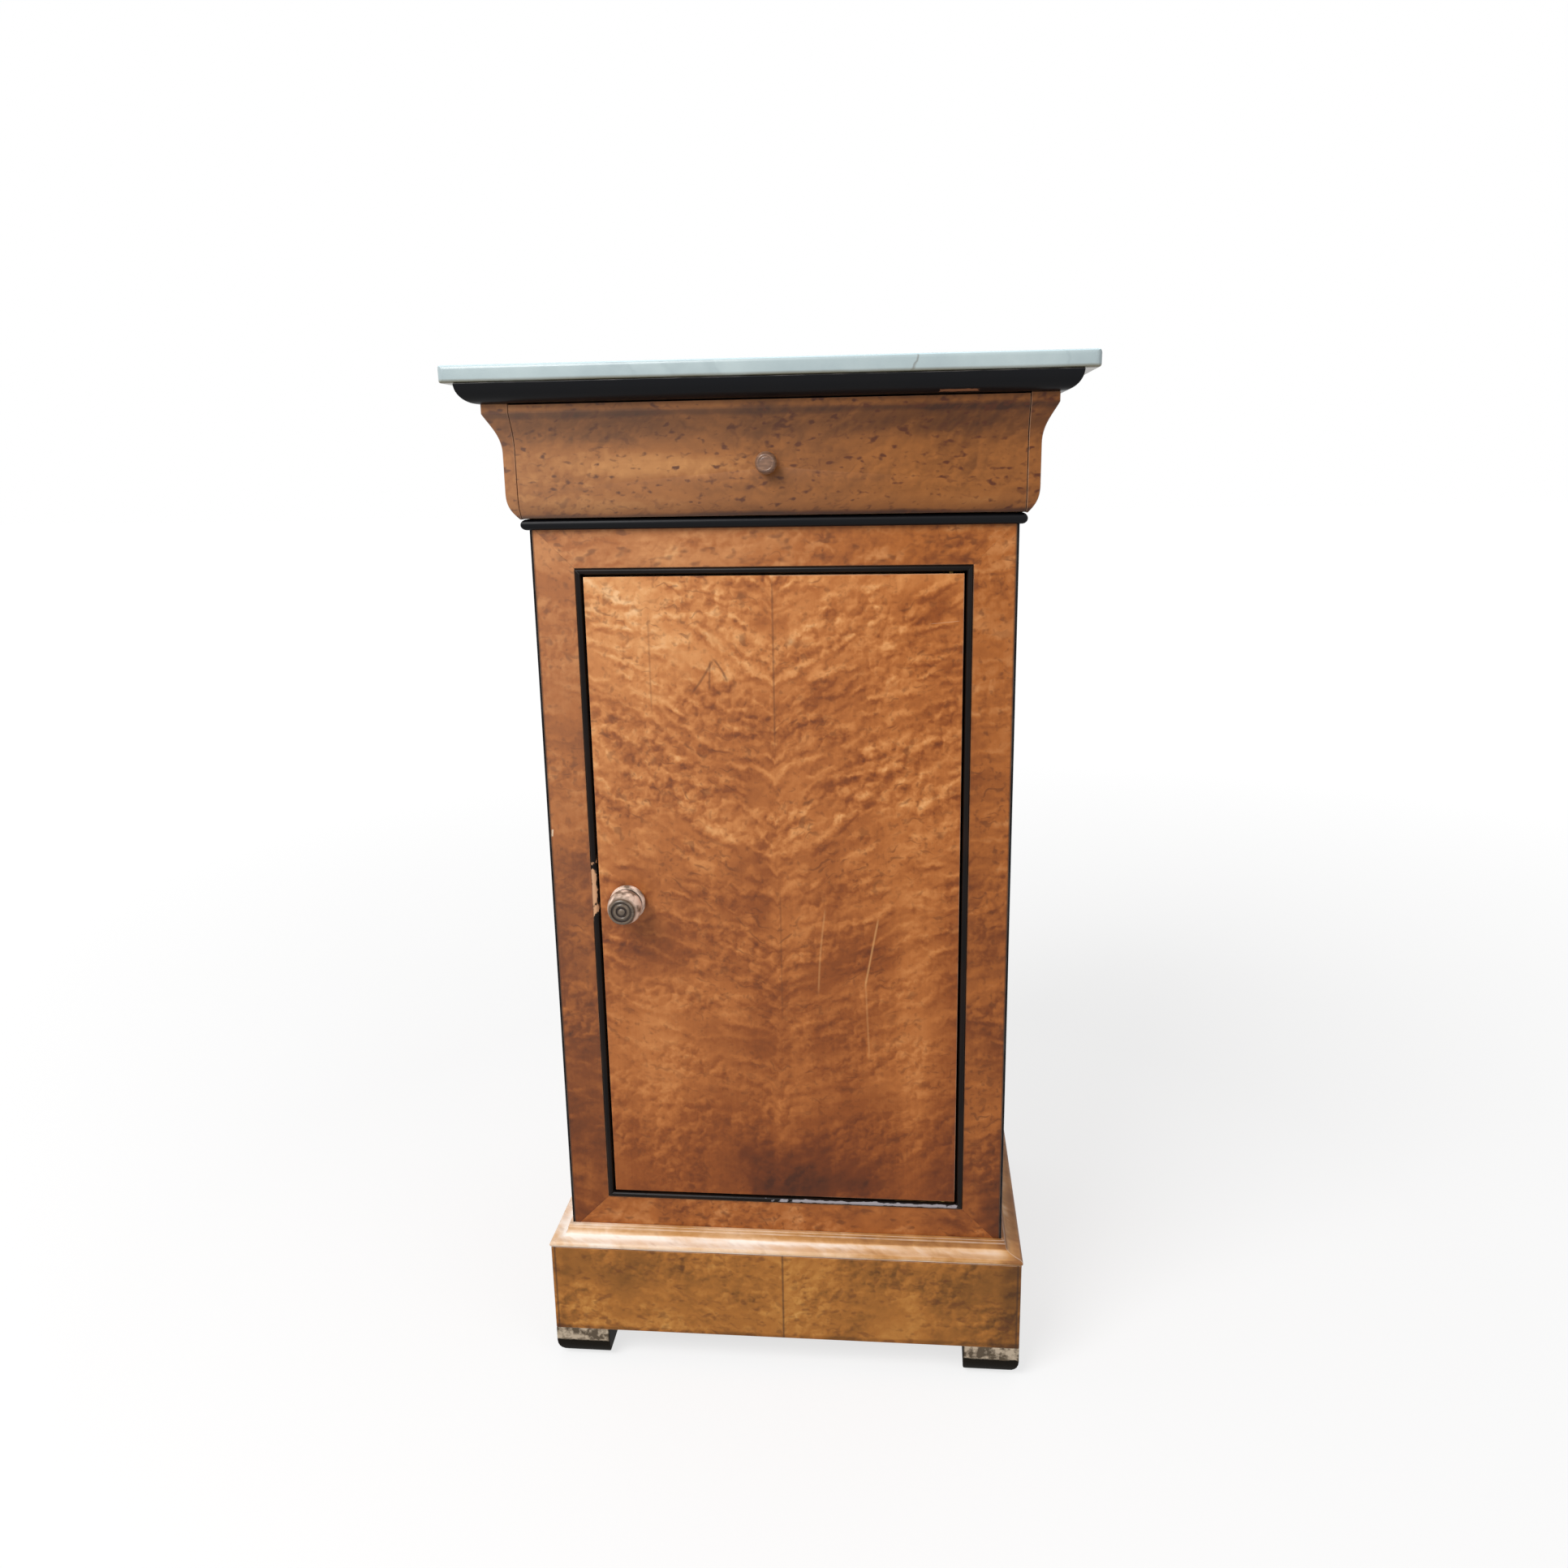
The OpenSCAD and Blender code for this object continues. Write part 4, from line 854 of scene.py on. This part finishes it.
FINISHES = (
    Marble(),
    Ebonised(spots=(
        Spot((0.128, -0.166, 0.746), (0.024, 0.02, 0.0012), "#8A5C40"),
    )),
    Ebonised("ebonised_lining", "#0B0706", "#1E110B", spots=(
        Spot((-0.1378, -0.1425, 0.396), (0.0048, 0.008, 0.034), "#CF9E78"),
        # Painted highlight along the top of the lining's bottom strip, on its right half
        Spot((0.068, -0.144, 0.1411), (0.134, 0.01, 0.0022), "#9C969A"),
    )),
    WornFoot(),
    MapleVeneer(
        "maple_door", DOOR_TONES, matched=True, lift=0.11, foot=0.3, foot_figure=0.2, foot_pits=0.7, calm=0.4,
        painted_side_light=0.09, blisters=0.1, flecks=0.35, fleck_scale=180.0, painted_sheen=0.08,
        clouds_and_painted_light=(
            Cloud(0.017, 0.16, 0.055, 0.055, -0.38), Cloud(0.07, 0.342, 0.035, 0.022, -0.14),
            Cloud(0.1, 0.43, 0.07, 0.16, 0.09), Cloud(-0.09, 0.27, 0.06, 0.09, 0.12),
            Cloud(0.09, 0.27, 0.06, 0.09, 0.12), Cloud(-0.1, 0.337, 0.03, 0.025, -0.14),
            Cloud(0.11, 0.607, 0.04, 0.02, -0.14), Cloud(-0.09, 0.567, 0.05, 0.06, 0.1),
            Cloud(-0.02, 0.407, 0.03, 0.05, -0.06),
        ),
        scratches=(
            Scratch((0.0644, 0.3197), (0.0748, 0.377), strength=0.5),
            Scratch((0.0679, 0.262), (0.0648, 0.331), strength=0.22),
            Scratch((0.0297, 0.314), (0.0356, 0.384), -0.001, 0.3),
            Scratch((0.11, 0.5925), (0.131, 0.5945), 0.0008, 0.7, "#E8C8A8"),
            Scratch((0.0004, 0.5), (0.0004, 0.63), strength=0.5, colour=CREASE),
            Scratch((0.0022, 0.29), (0.0022, 0.4), strength=0.3, colour=CREASE),
            Scratch((-0.0588, 0.5437), (-0.0425, 0.5687), 0.001, 0.6, CREASE, 0.0016),
            Scratch((-0.0328, 0.5523), (-0.0425, 0.5687), 0.001, 0.6, CREASE, 0.0014),
            Scratch((-0.046, 0.545), (-0.045, 0.568), 0.0, 0.5, CREASE),
            Scratch((-0.0884, 0.527), (-0.0884, 0.602), strength=0.3, colour=CREASE),
        ),
    ),
    replace(
        FRAME_VENEER, name="maple_stile_left", lift=0.06, clouds=0.5, pits=0.5, flecks=0.5, blisters=0.08,
        seed=0.3, scratches=(Scratch((-0.1676, 0.436), (-0.1668, 0.442), strength=0.8, colour="#F0D8B8"),),
    ),
    FRAME_VENEER,
    replace(
        FRAME_VENEER, name="maple_rail", grain=Grain.LEVEL, slant=0.0, lift=0.04, foot=0.1, seed=2.3,
        joints=(), clouds_and_painted_light=(Cloud(0.13, 0.645, 0.05, 0.03, -0.14), Cloud(-0.1, 0.128, 0.08, 0.03, 0.12)),
    ),
    MapleVeneer(
        "maple_side", FRAME_TONES, lift=0.01, clouds=0.62, streaks=0.09, blisters=0.07, flecks=0.4, painted_sheen=0.0,
        seed=1.9, depth=1.0,
    ),
    MapleVeneer(
        "maple_frieze", FRIEZE_TONES, grain=Grain.LEVEL, matched=True, slant=0.1, lift=-0.08, painted_side_light=0.06,
        clouds=0.34, streaks=0.05, blisters=0.06, flecks=1.0, fleck_scale=230.0, seed=3.1,
        # Painted shade darkens the hollow under the cornice, a line under the top band and the turned-under
        # foot; painted highlights lighten a line under the cornice and a patch on the left of the belly
        clouds_and_painted_light=(
            Cloud(0, 0.729, WHOLE, 0.015, -0.13), Cloud(0, 0.7368, WHOLE, 0.0035, -0.22),
            Cloud(0, 0.741, WHOLE, 0.0035, 0.05), Cloud(0, 0.668, WHOLE, 0.0035, -0.4),
            Cloud(-0.075, 0.703, 0.09, 0.012, 0.24), Cloud(0, 0.677, WHOLE, 0.008, 0.08),
        ),
        polish=Polish(roughness=0.4, specular=0.2, coat=0.15, coat_roughness=0.12),
    ),
    MapleVeneer(
        "maple_plinth", PLINTH_TONES, grain=Grain.LEVEL, matched=True, slant=0.2, lift=-0.02, clouds=0.62,
        streaks=0.1, blisters=0.12, mottle=0.12, pits=0.4, flecks=0.5, fleck_scale=170.0, painted_sheen=0.0, seed=5.3,
        joints=(-0.1823, 0.0, 0.1823),
        clouds_and_painted_light=(
            Cloud(0, 0.028, WHOLE, 0.004, -0.25), Cloud(0.188, 0.06, 0.03, 0.06, -0.2),
            Cloud(-0.19, 0.05, 0.035, 0.06, -0.12),
        ),
    ),
    MapleVeneer(
        "maple_cap", CAP_TONES, grain=Grain.LEVEL, slant=0.0, lift=0.05, clouds=0.35, streaks=0.05,
        blisters=0.05, pits=0.0, flecks=0.2, painted_sheen=0.0, fibres=0.25, depth=1.0, seed=7.7,
        pit_colour="#8A6040", worn_colour="#F6E8DA", worn=0.3,
        # Painted highlights lighten a band on the flat and a line on the nose; painted light from the left
        # makes the right end darker and the left lighter
        clouds_and_painted_light=(
            Cloud(0, 0.1105, WHOLE, 0.006, -0.3), Cloud(0, 0.1062, WHOLE, 0.0015, 0.4),
            Cloud(0, 0.1012, WHOLE, 0.001, 0.5), Cloud(0.19, 0.108, 0.022, 0.2, -0.4),
            Cloud(0.13, 0.105, 0.16, 0.2, -0.12), Cloud(-0.12, 0.104, 0.2, 0.2, 0.15),
        ),
    ),
    TurnedWood(),
    TurnedWood("turned_wood_worn_highlit", "#70604F", "#4A3D31", "#FBE2D0", wear_and_highlight=1.0, face_y=-0.1665),
    PINE,
    OAK,
    replace(PINE, name="pine_upright", grain=Grain.UPRIGHT),
    replace(PINE, name="pine_deep", grain=Grain.DEEP),
    replace(OAK, name="oak_level", grain=Grain.LEVEL),
    replace(OAK, name="oak_deep", grain=Grain.DEEP),
    AgedMetal("brass", "#9A7C44", "#4E4026"),
    AgedMetal("iron", "#5A5652", "#3A2C24", Polish(roughness=0.55, metallic=1.0, depth=0.0001)),
)

# Inner boards whose grain runs another way than their slot's
BOARDS = {
    "pine_upright": (
        "side_panel_left", "side_panel_right", "door_boards", "frame_stile_left", "frame_stile_right",
    ),
    "pine_deep": ("kickers",),
    "oak_level": ("drawer_bottom", "drawer_back", "drawer_rail_front", "drawer_rail_back"),
    "oak_deep": ("drawer_side_left", "drawer_side_right", "drawer_runners", "shelf_battens"),
}
BOARD_FINISHES = {node: finish for finish, nodes in BOARDS.items() for node in nodes}


# Workshop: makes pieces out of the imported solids


def finished_mesh(bm: BMesh, name: str) -> bpy.types.Mesh:
    """Turn a finished bmesh into a mesh.

    Args:
        bm: The bmesh, which is freed.
        name: Name of the mesh.

    Returns:
        The mesh.
    """
    mesh = bpy.data.meshes.new(name)
    bm.to_mesh(mesh)
    bm.free()
    return mesh


def stand(name: str, data: bpy.types.ID) -> bpy.types.Object:
    """Put an object into the scene.

    Args:
        name: Name of the object.
        data: Its mesh, lamp or camera.

    Returns:
        The object.
    """
    thing = bpy.data.objects.new(name, data)
    bpy.context.scene.collection.objects.link(thing)
    return thing


@dataclass
class Workshop:
    """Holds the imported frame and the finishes, and makes dressed pieces from them."""

    frame: dict
    finishes: dict[str, bpy.types.Material] = field(default_factory=dict)

    def mix_finishes(self) -> None:
        """Make every material once."""
        for finish in FINISHES:
            self.finishes[finish.name] = finish.build()
            log.info("finish %s", finish.name)

    def slot_of(self, node: str) -> str:
        """Give the material slot that the record names for a node."""
        parts = self.frame["record"]["subparts"]
        return next(part["material_slot"] for part in parts if part["node"] == node)

    def finish_piece(
        self, mesh: bpy.types.Mesh, name: str, body: Body, slot: str, finish: str | None = None
    ) -> bpy.types.Object:
        """Turn a finished mesh into a piece of the object.

        Args:
            mesh: Mesh that lies at its place already.
            name: Name of the piece.
            body: Moving part that it rides on.
            slot: Material slot that it takes its finish from.
            finish: Name of the finish, where the slot has several.

        Returns:
            The piece.
        """
        mesh.materials.clear()
        mesh.materials.append(self.finishes[finish or slot])
        piece = stand(name, mesh)
        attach(piece, body.value)
        log.info("piece %s", name)
        return piece

    def soften(
        self, node: str, arris: float, keep: Callable[[Vector], bool] = lambda middle: False,
        smooth: float = SMOOTH_ANGLE, shape: Callable[[BMesh], None] | None = None,
        finish: str | None = None,
    ) -> None:
        """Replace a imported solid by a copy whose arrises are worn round.

        Args:
            node: Name of the solid.
            arris: Width of the worn arris.
            keep: Tells from its middle whether an edge stays sharp.
            smooth: Facets that turn less than this are shaded as one curve.
            shape: Changes the mesh before its arrises are worn.
            finish: Name of the finish, where the slot has several.
        """
        source = self.frame["nodes"][node]
        bm = bmesh.new()
        bm.from_mesh(source.data)
        bmesh.ops.remove_doubles(bm, verts=bm.verts, dist=SAME_POINT)
        bmesh.ops.dissolve_limit(bm, angle_limit=FLAT_ANGLE, verts=bm.verts, edges=bm.edges)
        if shape:
            shape(bm)
        layer = bm.faces.layers.float.new(ARRIS)
        sharp = [
            edge
            for edge in bm.edges
            if len(edge.link_faces) == 2
            and edge.calc_face_angle(0.0) > ARRIS_ANGLE
            and not keep((edge.verts[0].co + edge.verts[1].co) / 2)
        ]
        if sharp:
            made = bmesh.ops.bevel(
                bm, geom=sharp, offset=arris, offset_type="OFFSET", affect="EDGES", segments=2, profile=0.5,
                material=-1, clamp_overlap=True,
            )
            for face in made["faces"]:
                face[layer] = 1.0
        # Rounding leaves some points a micron outside the solid
        low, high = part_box(node)
        for vert in bm.verts:
            vert.co = [min(max(at, least), most) for at, least, most in zip(vert.co, low, high)]
        mesh = finished_mesh(bm, f"{node}_worn")
        mesh.shade_smooth()
        mesh.set_sharp_from_angle(angle=smooth)
        finish = finish or BOARD_FINISHES.get(node)
        piece = self.finish_piece(mesh, f"{node}_worn", Body(source["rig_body"]), self.slot_of(node), finish)
        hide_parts(node)

    def soften_all(self, nodes: Sequence[str], arris: float) -> None:
        """Soften several solids by the same arris."""
        for node in nodes:
            self.soften(node, arris)

    def turn(
        self, node: str, outline: Sequence[tuple[float, float]], at: Triple, body: Body,
        grooves: Sequence[int] = (), finish: str | None = None,
    ) -> None:
        """Turn a knob on the lathe in place of its solid, with its axis along -Y.

        Args:
            node: Name of the solid.
            outline: Radius and distance out along the axis in millimetres, from the back to the front.
            at: Place of the outline's zero.
            body: Moving part that it rides on.
            grooves: Numbers of the outline's steps that are dirty grooves.
            finish: Name of the finish, where the slot has several.
        """
        bm = bmesh.new()
        layer = bm.faces.layers.float.new(ARRIS)
        mark = bm.edges.layers.int.new("groove")
        centre = Vector(at)
        points = [bm.verts.new(centre + Vector((radius / 1000, -out / 1000, 0))) for radius, out in outline]
        edges = [bm.edges.new(pair) for pair in zip(points, points[1:])]
        for i in grooves:
            edges[i][mark] = 1
        bmesh.ops.spin(
            bm, geom=points + edges, cent=centre, axis=(0, 1, 0), angle=math.tau, steps=TURNED_STEPS,
            use_merge=True, use_normal_flip=False, use_duplicate=False,
        )
        for face in bm.faces:
            if any(edge[mark] for edge in face.edges):
                face[layer] = 1.0
        bmesh.ops.remove_doubles(bm, verts=bm.verts, dist=SAME_POINT)
        bmesh.ops.recalc_face_normals(bm, faces=bm.faces)
        mesh = finished_mesh(bm, f"{node}_turned")
        mesh.shade_smooth()
        mesh.set_sharp_from_angle(angle=TURNED_ANGLE)
        knob = self.finish_piece(mesh, f"{node}_turned", body, "turned_wood", finish)
        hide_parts(node)


def cut_across(bm: BMesh, height: float) -> None:
    """Cut new edges round a mesh at a height."""
    geometry = bm.verts[:] + bm.edges[:] + bm.faces[:]
    bmesh.ops.bisect_plane(bm, geom=geometry, dist=1e-7, plane_co=(0, 0, height), plane_no=(0, 0, 1))


# Sub-assemblies


@dataclass
class Top:
    """Marble slab, cornice and the frame between them."""

    nodes: tuple[str, ...] = (
        "marble_top", "cornice_front", "cornice_left", "cornice_right", "top_rail_front", "top_rail_back",
        "kickers",
    )
    arris: float = 0.0004

    def build(self, shop: Workshop) -> None:
        """Make the slab, its mouldings and its frame."""
        shop.soften_all(self.nodes, self.arris)


@dataclass
class Case:
    """Sides, frieze, bead, back, bottom and shelf."""

    nodes: tuple[str, ...] = (
        "side_panel_left", "side_panel_right", "side_veneer_left", "side_veneer_right", "back_boards",
        "bottom_board", "shelf", "shelf_battens", "drawer_rail_front", "drawer_rail_back", "drawer_runners",
        "door_stops", "latch_strike", "frame_pivots", "frieze_left", "frieze_right", "bead",
    )
    arris: float = 0.0005

    def build(self, shop: Workshop) -> None:
        """Make the boards and mouldings."""
        shop.soften_all(self.nodes, self.arris)


@dataclass
class FrontFrame:
    """Veneered frame round the door, with its black lining and corner lines."""

    boards: tuple[str, ...] = ("frame_stile_left", "frame_stile_right", "frame_rail_top", "frame_rail_bottom")
    facings: tuple[tuple[str, str], ...] = (
        ("facing_left", "maple_stile_left"), ("facing_right", "maple_frame"),
        ("facing_top", "maple_rail"), ("facing_bottom", "maple_rail"),
    )
    # How far out of its corner a mitre starts, and how near to it an edge lies
    mitre_start: float = 0.001
    mitre_reach: float = 0.003
    board_arris: float = 0.0004
    facing_arris: float = 0.0005
    line_arris: float = 0.0003
    lining_arris: float = 0.0002
    lining_smooth: float = math.radians(25)
    # Right edge and front of the part that the lining's left strip loses
    chip_inner: float = -0.1345
    chip_front: float = -0.1415
    chip_low: float = 0.377
    chip_depth: float = 0.0014
    # Heights over the chip's foot, each with its share of the depth
    chip_steps: tuple[tuple[float, float], ...] = (
        (-0.004, 0.0), (0.0, 0.6), (0.009, 1.0), (0.021, 0.8), (0.033, 1.0), (0.036, 0.7), (0.039, 0.0),
    )

    def build(self, shop: Workshop) -> None:
        """Make the frame.

        Args:
            shop: The workshop.
        """
        shop.soften_all(self.boards, self.board_arris)
        for node, finish in self.facings:
            shop.soften(node, self.facing_arris, keep=self._mitre, finish=finish)
        shop.soften("corner_lines", self.line_arris)
        shop.soften(
            "door_lining", self.lining_arris, smooth=self.lining_smooth, shape=self._chip,
            finish="ebonised_lining",
        )

    def _mitre(self, middle: Vector) -> bool:
        """Tell the tight edges along the mitres of the facings.

        Args:
            middle: Middle of an edge.

        Returns:
            Whether the edge lies on a mitre, which starts at a corner of the lining.
        """
        low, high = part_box("door_lining")
        out = abs(middle.x) - high[0]
        off = min(abs(middle.z - high[2] - out), abs(low[2] - middle.z - out))
        return out > self.mitre_start and off < self.mitre_reach

    def _chip(self, bm: BMesh) -> None:
        """Break the front off the left strip beside the knob, where the bare wood shows.

        Args:
            bm: Mesh of the lining.
        """
        steps = [(self.chip_low + over, share) for over, share in self.chip_steps]
        for height, _ in steps:
            cut_across(bm, height)
        for height, share in steps:
            for vert in bm.verts:
                x, y, z = vert.co
                if abs(z - height) < ON_CUT and x < self.chip_inner and y < self.chip_front:
                    vert.co.y = min(self.chip_front, y + share * self.chip_depth)


@dataclass
class Plinth:
    """Plinth, its pale cap, glue blocks and feet."""

    nodes: tuple[str, ...] = ("plinth_front", "plinth_left", "plinth_right", "plinth_back", "plinth_blocks")
    feet: tuple[str, ...] = ("foot_front_left", "foot_front_right", "foot_back_left", "foot_back_right")
    arris: float = 0.0006
    cap_arris: float = 0.0004
    sole_round: float = 0.007
    sole_steps: int = 6

    def build(self, shop: Workshop) -> None:
        """Make the plinth.

        Args:
            shop: The workshop.
        """
        shop.soften_all(self.nodes, self.arris)
        for node in self.feet:
            shop.soften(node, self.arris, shape=self._round_sole)
        shop.soften("plinth_cap", self.cap_arris)

    def _round_sole(self, bm: BMesh) -> None:
        """Round the inner lower edges of a foot, as its outer ones are already.

        Args:
            bm: Mesh of the foot.
        """
        inner_x = min(abs(vert.co.x) for vert in bm.verts)
        inner_y = min(abs(vert.co.y) for vert in bm.verts)
        for step in range(1, self.sole_steps + 1):
            cut_across(bm, self.sole_round * (1 - math.cos(step / self.sole_steps * math.pi / 2)))
        for vert in bm.verts:
            above = max(self.sole_round - vert.co.z, 0.0)
            inset = self.sole_round - math.sqrt(self.sole_round**2 - above**2)
            if abs(abs(vert.co.x) - inner_x) < SAME_POINT:
                vert.co.x += math.copysign(inset, vert.co.x)
            if abs(abs(vert.co.y) - inner_y) < SAME_POINT:
                vert.co.y += math.copysign(inset, vert.co.y)


@dataclass
class Door:
    """Door with its book-matched veneer, pivots, knob and latch."""

    boards: tuple[str, ...] = ("door_boards", "door_clamps", "door_pivots")
    leaves: tuple[str, ...] = ("door_veneer_left", "door_veneer_right")
    latch: tuple[str, ...] = ("latch_spindle", "latch_tongue")
    arris: float = 0.0003
    leaf_arris: float = 0.0005
    # Half the width of the tight joint between the leaves
    leaf_joint: float = 0.0005
    knob_at: Triple = (-0.112, -0.142, 0.3865)
    # Radius and distance out of the door in millimetres
    knob_outline: tuple[tuple[float, float], ...] = (
        (4.1, 0.3), (11.6, 0.3), (12.6, 0.9), (13.2, 2.0), (13.5, 3.4), (13.3, 5.0), (12.7, 6.4), (11.9, 7.4),
        (11.5, 8.0), (11.6, 8.8), (12.2, 10.2), (12.7, 12.0), (12.8, 13.8), (12.5, 16.0), (11.9, 18.6),
        (11.2, 21.0), (10.4, 23.0), (9.9, 24.0), (9.7, 24.4), (9.6, 25.1), (9.2, 25.7), (8.6, 26.0),
        (8.0, 25.9), (7.6, 25.4), (7.3, 24.6), (6.5, 24.5), (6.1, 25.1), (5.5, 25.5), (4.6, 25.5),
        (4.1, 25.1), (3.7, 24.5), (3.0, 24.5), (2.6, 25.2), (1.8, 25.75), (0.9, 25.95), (0.0, 26.0),
    )
    # Steps of the outline that hold dirt
    knob_grooves: tuple[int, ...] = (7, 8, 23, 24, 29, 30, 31)

    def build(self, shop: Workshop) -> None:
        """Make the door.

        Args:
            shop: The workshop.
        """
        shop.soften_all(self.boards, self.arris)
        for node in self.leaves:
            shop.soften(node, self.leaf_arris, keep=lambda middle: abs(middle.x) < self.leaf_joint)
        shop.soften_all(self.latch, self.arris)
        shop.turn(
            "door_knob", self.knob_outline, self.knob_at, Body.LATCH, self.knob_grooves, "turned_wood_worn_highlit"
        )


@dataclass
class Drawer:
    """Frieze drawer with its dovetailed box and small knob."""

    boards: tuple[str, ...] = (
        "drawer_front", "drawer_side_left", "drawer_side_right", "drawer_back", "drawer_bottom",
    )
    facade_arris: float = 0.0005
    arris: float = 0.0003
    knob_at: Triple = (0, -0.154, 0.70292)
    # Radius and distance out of the belly in millimetres, with the tenon behind it
    knob_outline: tuple[tuple[float, float], ...] = (
        (0.0, -12.0), (3.0, -12.0), (3.0, 0.0), (5.4, 0.0), (5.45, 0.8), (4.9, 1.3), (4.5, 2.2), (4.4, 3.2),
        (4.9, 4.1), (6.1, 4.9), (7.0, 5.5), (7.4, 6.2), (7.5, 7.0), (7.3, 8.2), (6.8, 9.3), (6.1, 10.2),
        (5.5, 10.7), (5.1, 10.9), (4.7, 10.85), (4.4, 10.6), (4.1, 10.6), (3.7, 10.8), (3.0, 10.9),
        (1.5, 11.0), (0.0, 11.0),
    )

    def build(self, shop: Workshop) -> None:
        """Make the drawer.

        Args:
            shop: The workshop.
        """
        shop.soften("drawer_facade", self.facade_arris)
        shop.soften_all(self.boards, self.arris)
        shop.turn("drawer_knob", self.knob_outline, self.knob_at, Body.DRAWER)


@dataclass(frozen=True)
class Lamp:
    """One soft studio lamp."""

    name: str
    at: Triple
    side: float
    watts: float
    aim: Triple = (0.0, 0.0, 0.4)

    def hang(self) -> None:
        """Put the lamp in place, facing its aim."""
        light = bpy.data.lights.new(self.name, "AREA")
        light.shape = "SQUARE"
        light.size = self.side
        light.energy = self.watts
        lamp = stand(self.name, light)
        lamp.location = self.at
        lamp.rotation_euler = (Vector(self.aim) - Vector(self.at)).to_track_quat("-Z", "Y").to_euler()


@dataclass
class Studio:
    """Pale floor, soft light and the camera at the photograph's place."""

    floor_side: float = 40.0
    floor_colour: str = "#D0D0D0"
    floor_glow: float = 0.6
    # Distances between which the floor's own white grows, and its strengths there
    floor_white: tuple[float, ...] = (0.6, 3.0, 1.2, 1.6)
    white: str = "#FFFFFF"
    ambient: float = 0.3
    lamps: tuple[Lamp, ...] = (
        Lamp("key_lamp", (-1.2, -1.8, 2.4), 1.6, 78.0),
        Lamp("fill_lamp", (1.7, -1.7, 1.6), 1.6, 10.0),
        Lamp("top_lamp", (0.0, 0.3, 2.6), 1.5, 10.0),
    )
    camera_at: Triple = (0.09514, -1.03736, 0.69832)
    yaw: float = -5.656
    pitch: float = 13.7868
    roll: float = 1.0138
    lens: float = 29.413
    sensor: float = 36.0
    clip: tuple[float, float] = (0.01, 100.0)

    def build(self) -> None:
        """Set up floor, lamps, background and camera."""
        self._floor()
        self._background()
        for lamp in self.lamps:
            lamp.hang()
        self._camera()
        bpy.context.scene.view_settings.view_transform = "Standard"

    def _seen(self, tree: Tree) -> Socket:
        """Tell whether a ray comes from the camera, a gloss or a glass.

        Args:
            tree: Node tree of the floor or the world.

        Returns:
            1 where it does.
        """
        camera, glossy, through = (
            add(tree, "LightPath", out=f"Is {ray} Ray") for ray in ("Camera", "Glossy", "Transmission")
        )
        seen = add(tree, "Math MAXIMUM", camera, glossy)
        return add(tree, "Math MAXIMUM", seen, through)

    def _floor(self) -> None:
        """Lay the pale floor, which shows white and keeps the object's shadow."""
        bm = bmesh.new()
        bmesh.ops.create_grid(bm, x_segments=1, y_segments=1, size=self.floor_side / 2)
        mesh = finished_mesh(bm, "floor")
        material, tree, place = new_material("pale_floor")
        matt = add(tree, "BsdfDiffuse", Color=self.floor_colour)
        # The lamps reach less far than the floor does, so its own white grows with the distance
        far = add(tree, "VectorMath LENGTH", place)
        strength = add(tree, "MapRange", far, *self.floor_white)
        glow = add(tree, "Emission", Color=self.white, Strength=strength)
        seen = add(tree, "Math MULTIPLY", self._seen(tree), self.floor_glow)
        add(tree, "OutputMaterial", Surface=add(tree, "MixShader", seen, matt, glow))
        mesh.materials.append(material)
        stand("floor", mesh)

    def _background(self) -> None:
        """Make the background white where it is seen, and a soft light elsewhere."""
        world = bpy.data.worlds.new("studio")
        world.use_nodes = True
        tree = world.node_tree
        tree.nodes.clear()
        strength = add(tree, "MapRange", self._seen(tree), 0.0, 1.0, self.ambient, 1.0)
        glow = add(tree, "Background", Color=self.white, Strength=strength)
        add(tree, "OutputWorld", Surface=glow)
        bpy.context.scene.world = world

    def _camera(self) -> None:
        """Set up the camera."""
        yaw, pitch, roll = (math.radians(angle) for angle in (self.yaw, self.pitch, self.roll))
        ahead = Vector((math.sin(yaw) * math.cos(pitch), math.cos(yaw) * math.cos(pitch), -math.sin(pitch)))
        level = Vector((math.cos(yaw), -math.sin(yaw), 0.0))
        down = ahead.cross(level)
        right = level * math.cos(roll) + down * math.sin(roll)
        below = down * math.cos(roll) - level * math.sin(roll)
        data = bpy.data.cameras.new("camera")
        data.lens = self.lens
        data.sensor_width = self.sensor
        data.clip_start, data.clip_end = self.clip
        camera = stand("camera", data)
        turned = Matrix((right, -below, -ahead)).transposed().to_4x4()
        camera.matrix_world = Matrix.Translation(self.camera_at) @ turned
        bpy.context.scene.camera = camera


def main(frame: dict) -> None:
    """Build the whole object and its studio.

    Args:
        frame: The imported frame.
    """
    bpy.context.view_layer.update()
    shop = Workshop(frame)
    shop.mix_finishes()
    for assembly in (Top(), Case(), FrontFrame(), Plinth(), Door(), Drawer()):
        assembly.build(shop)
        log.info("assembly %s", type(assembly).__name__)
    Studio().build()
    bpy.context.view_layer.update()


if __name__ == "__main__":
    logging.basicConfig(level=logging.INFO, format="%(message)s")
    main(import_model())
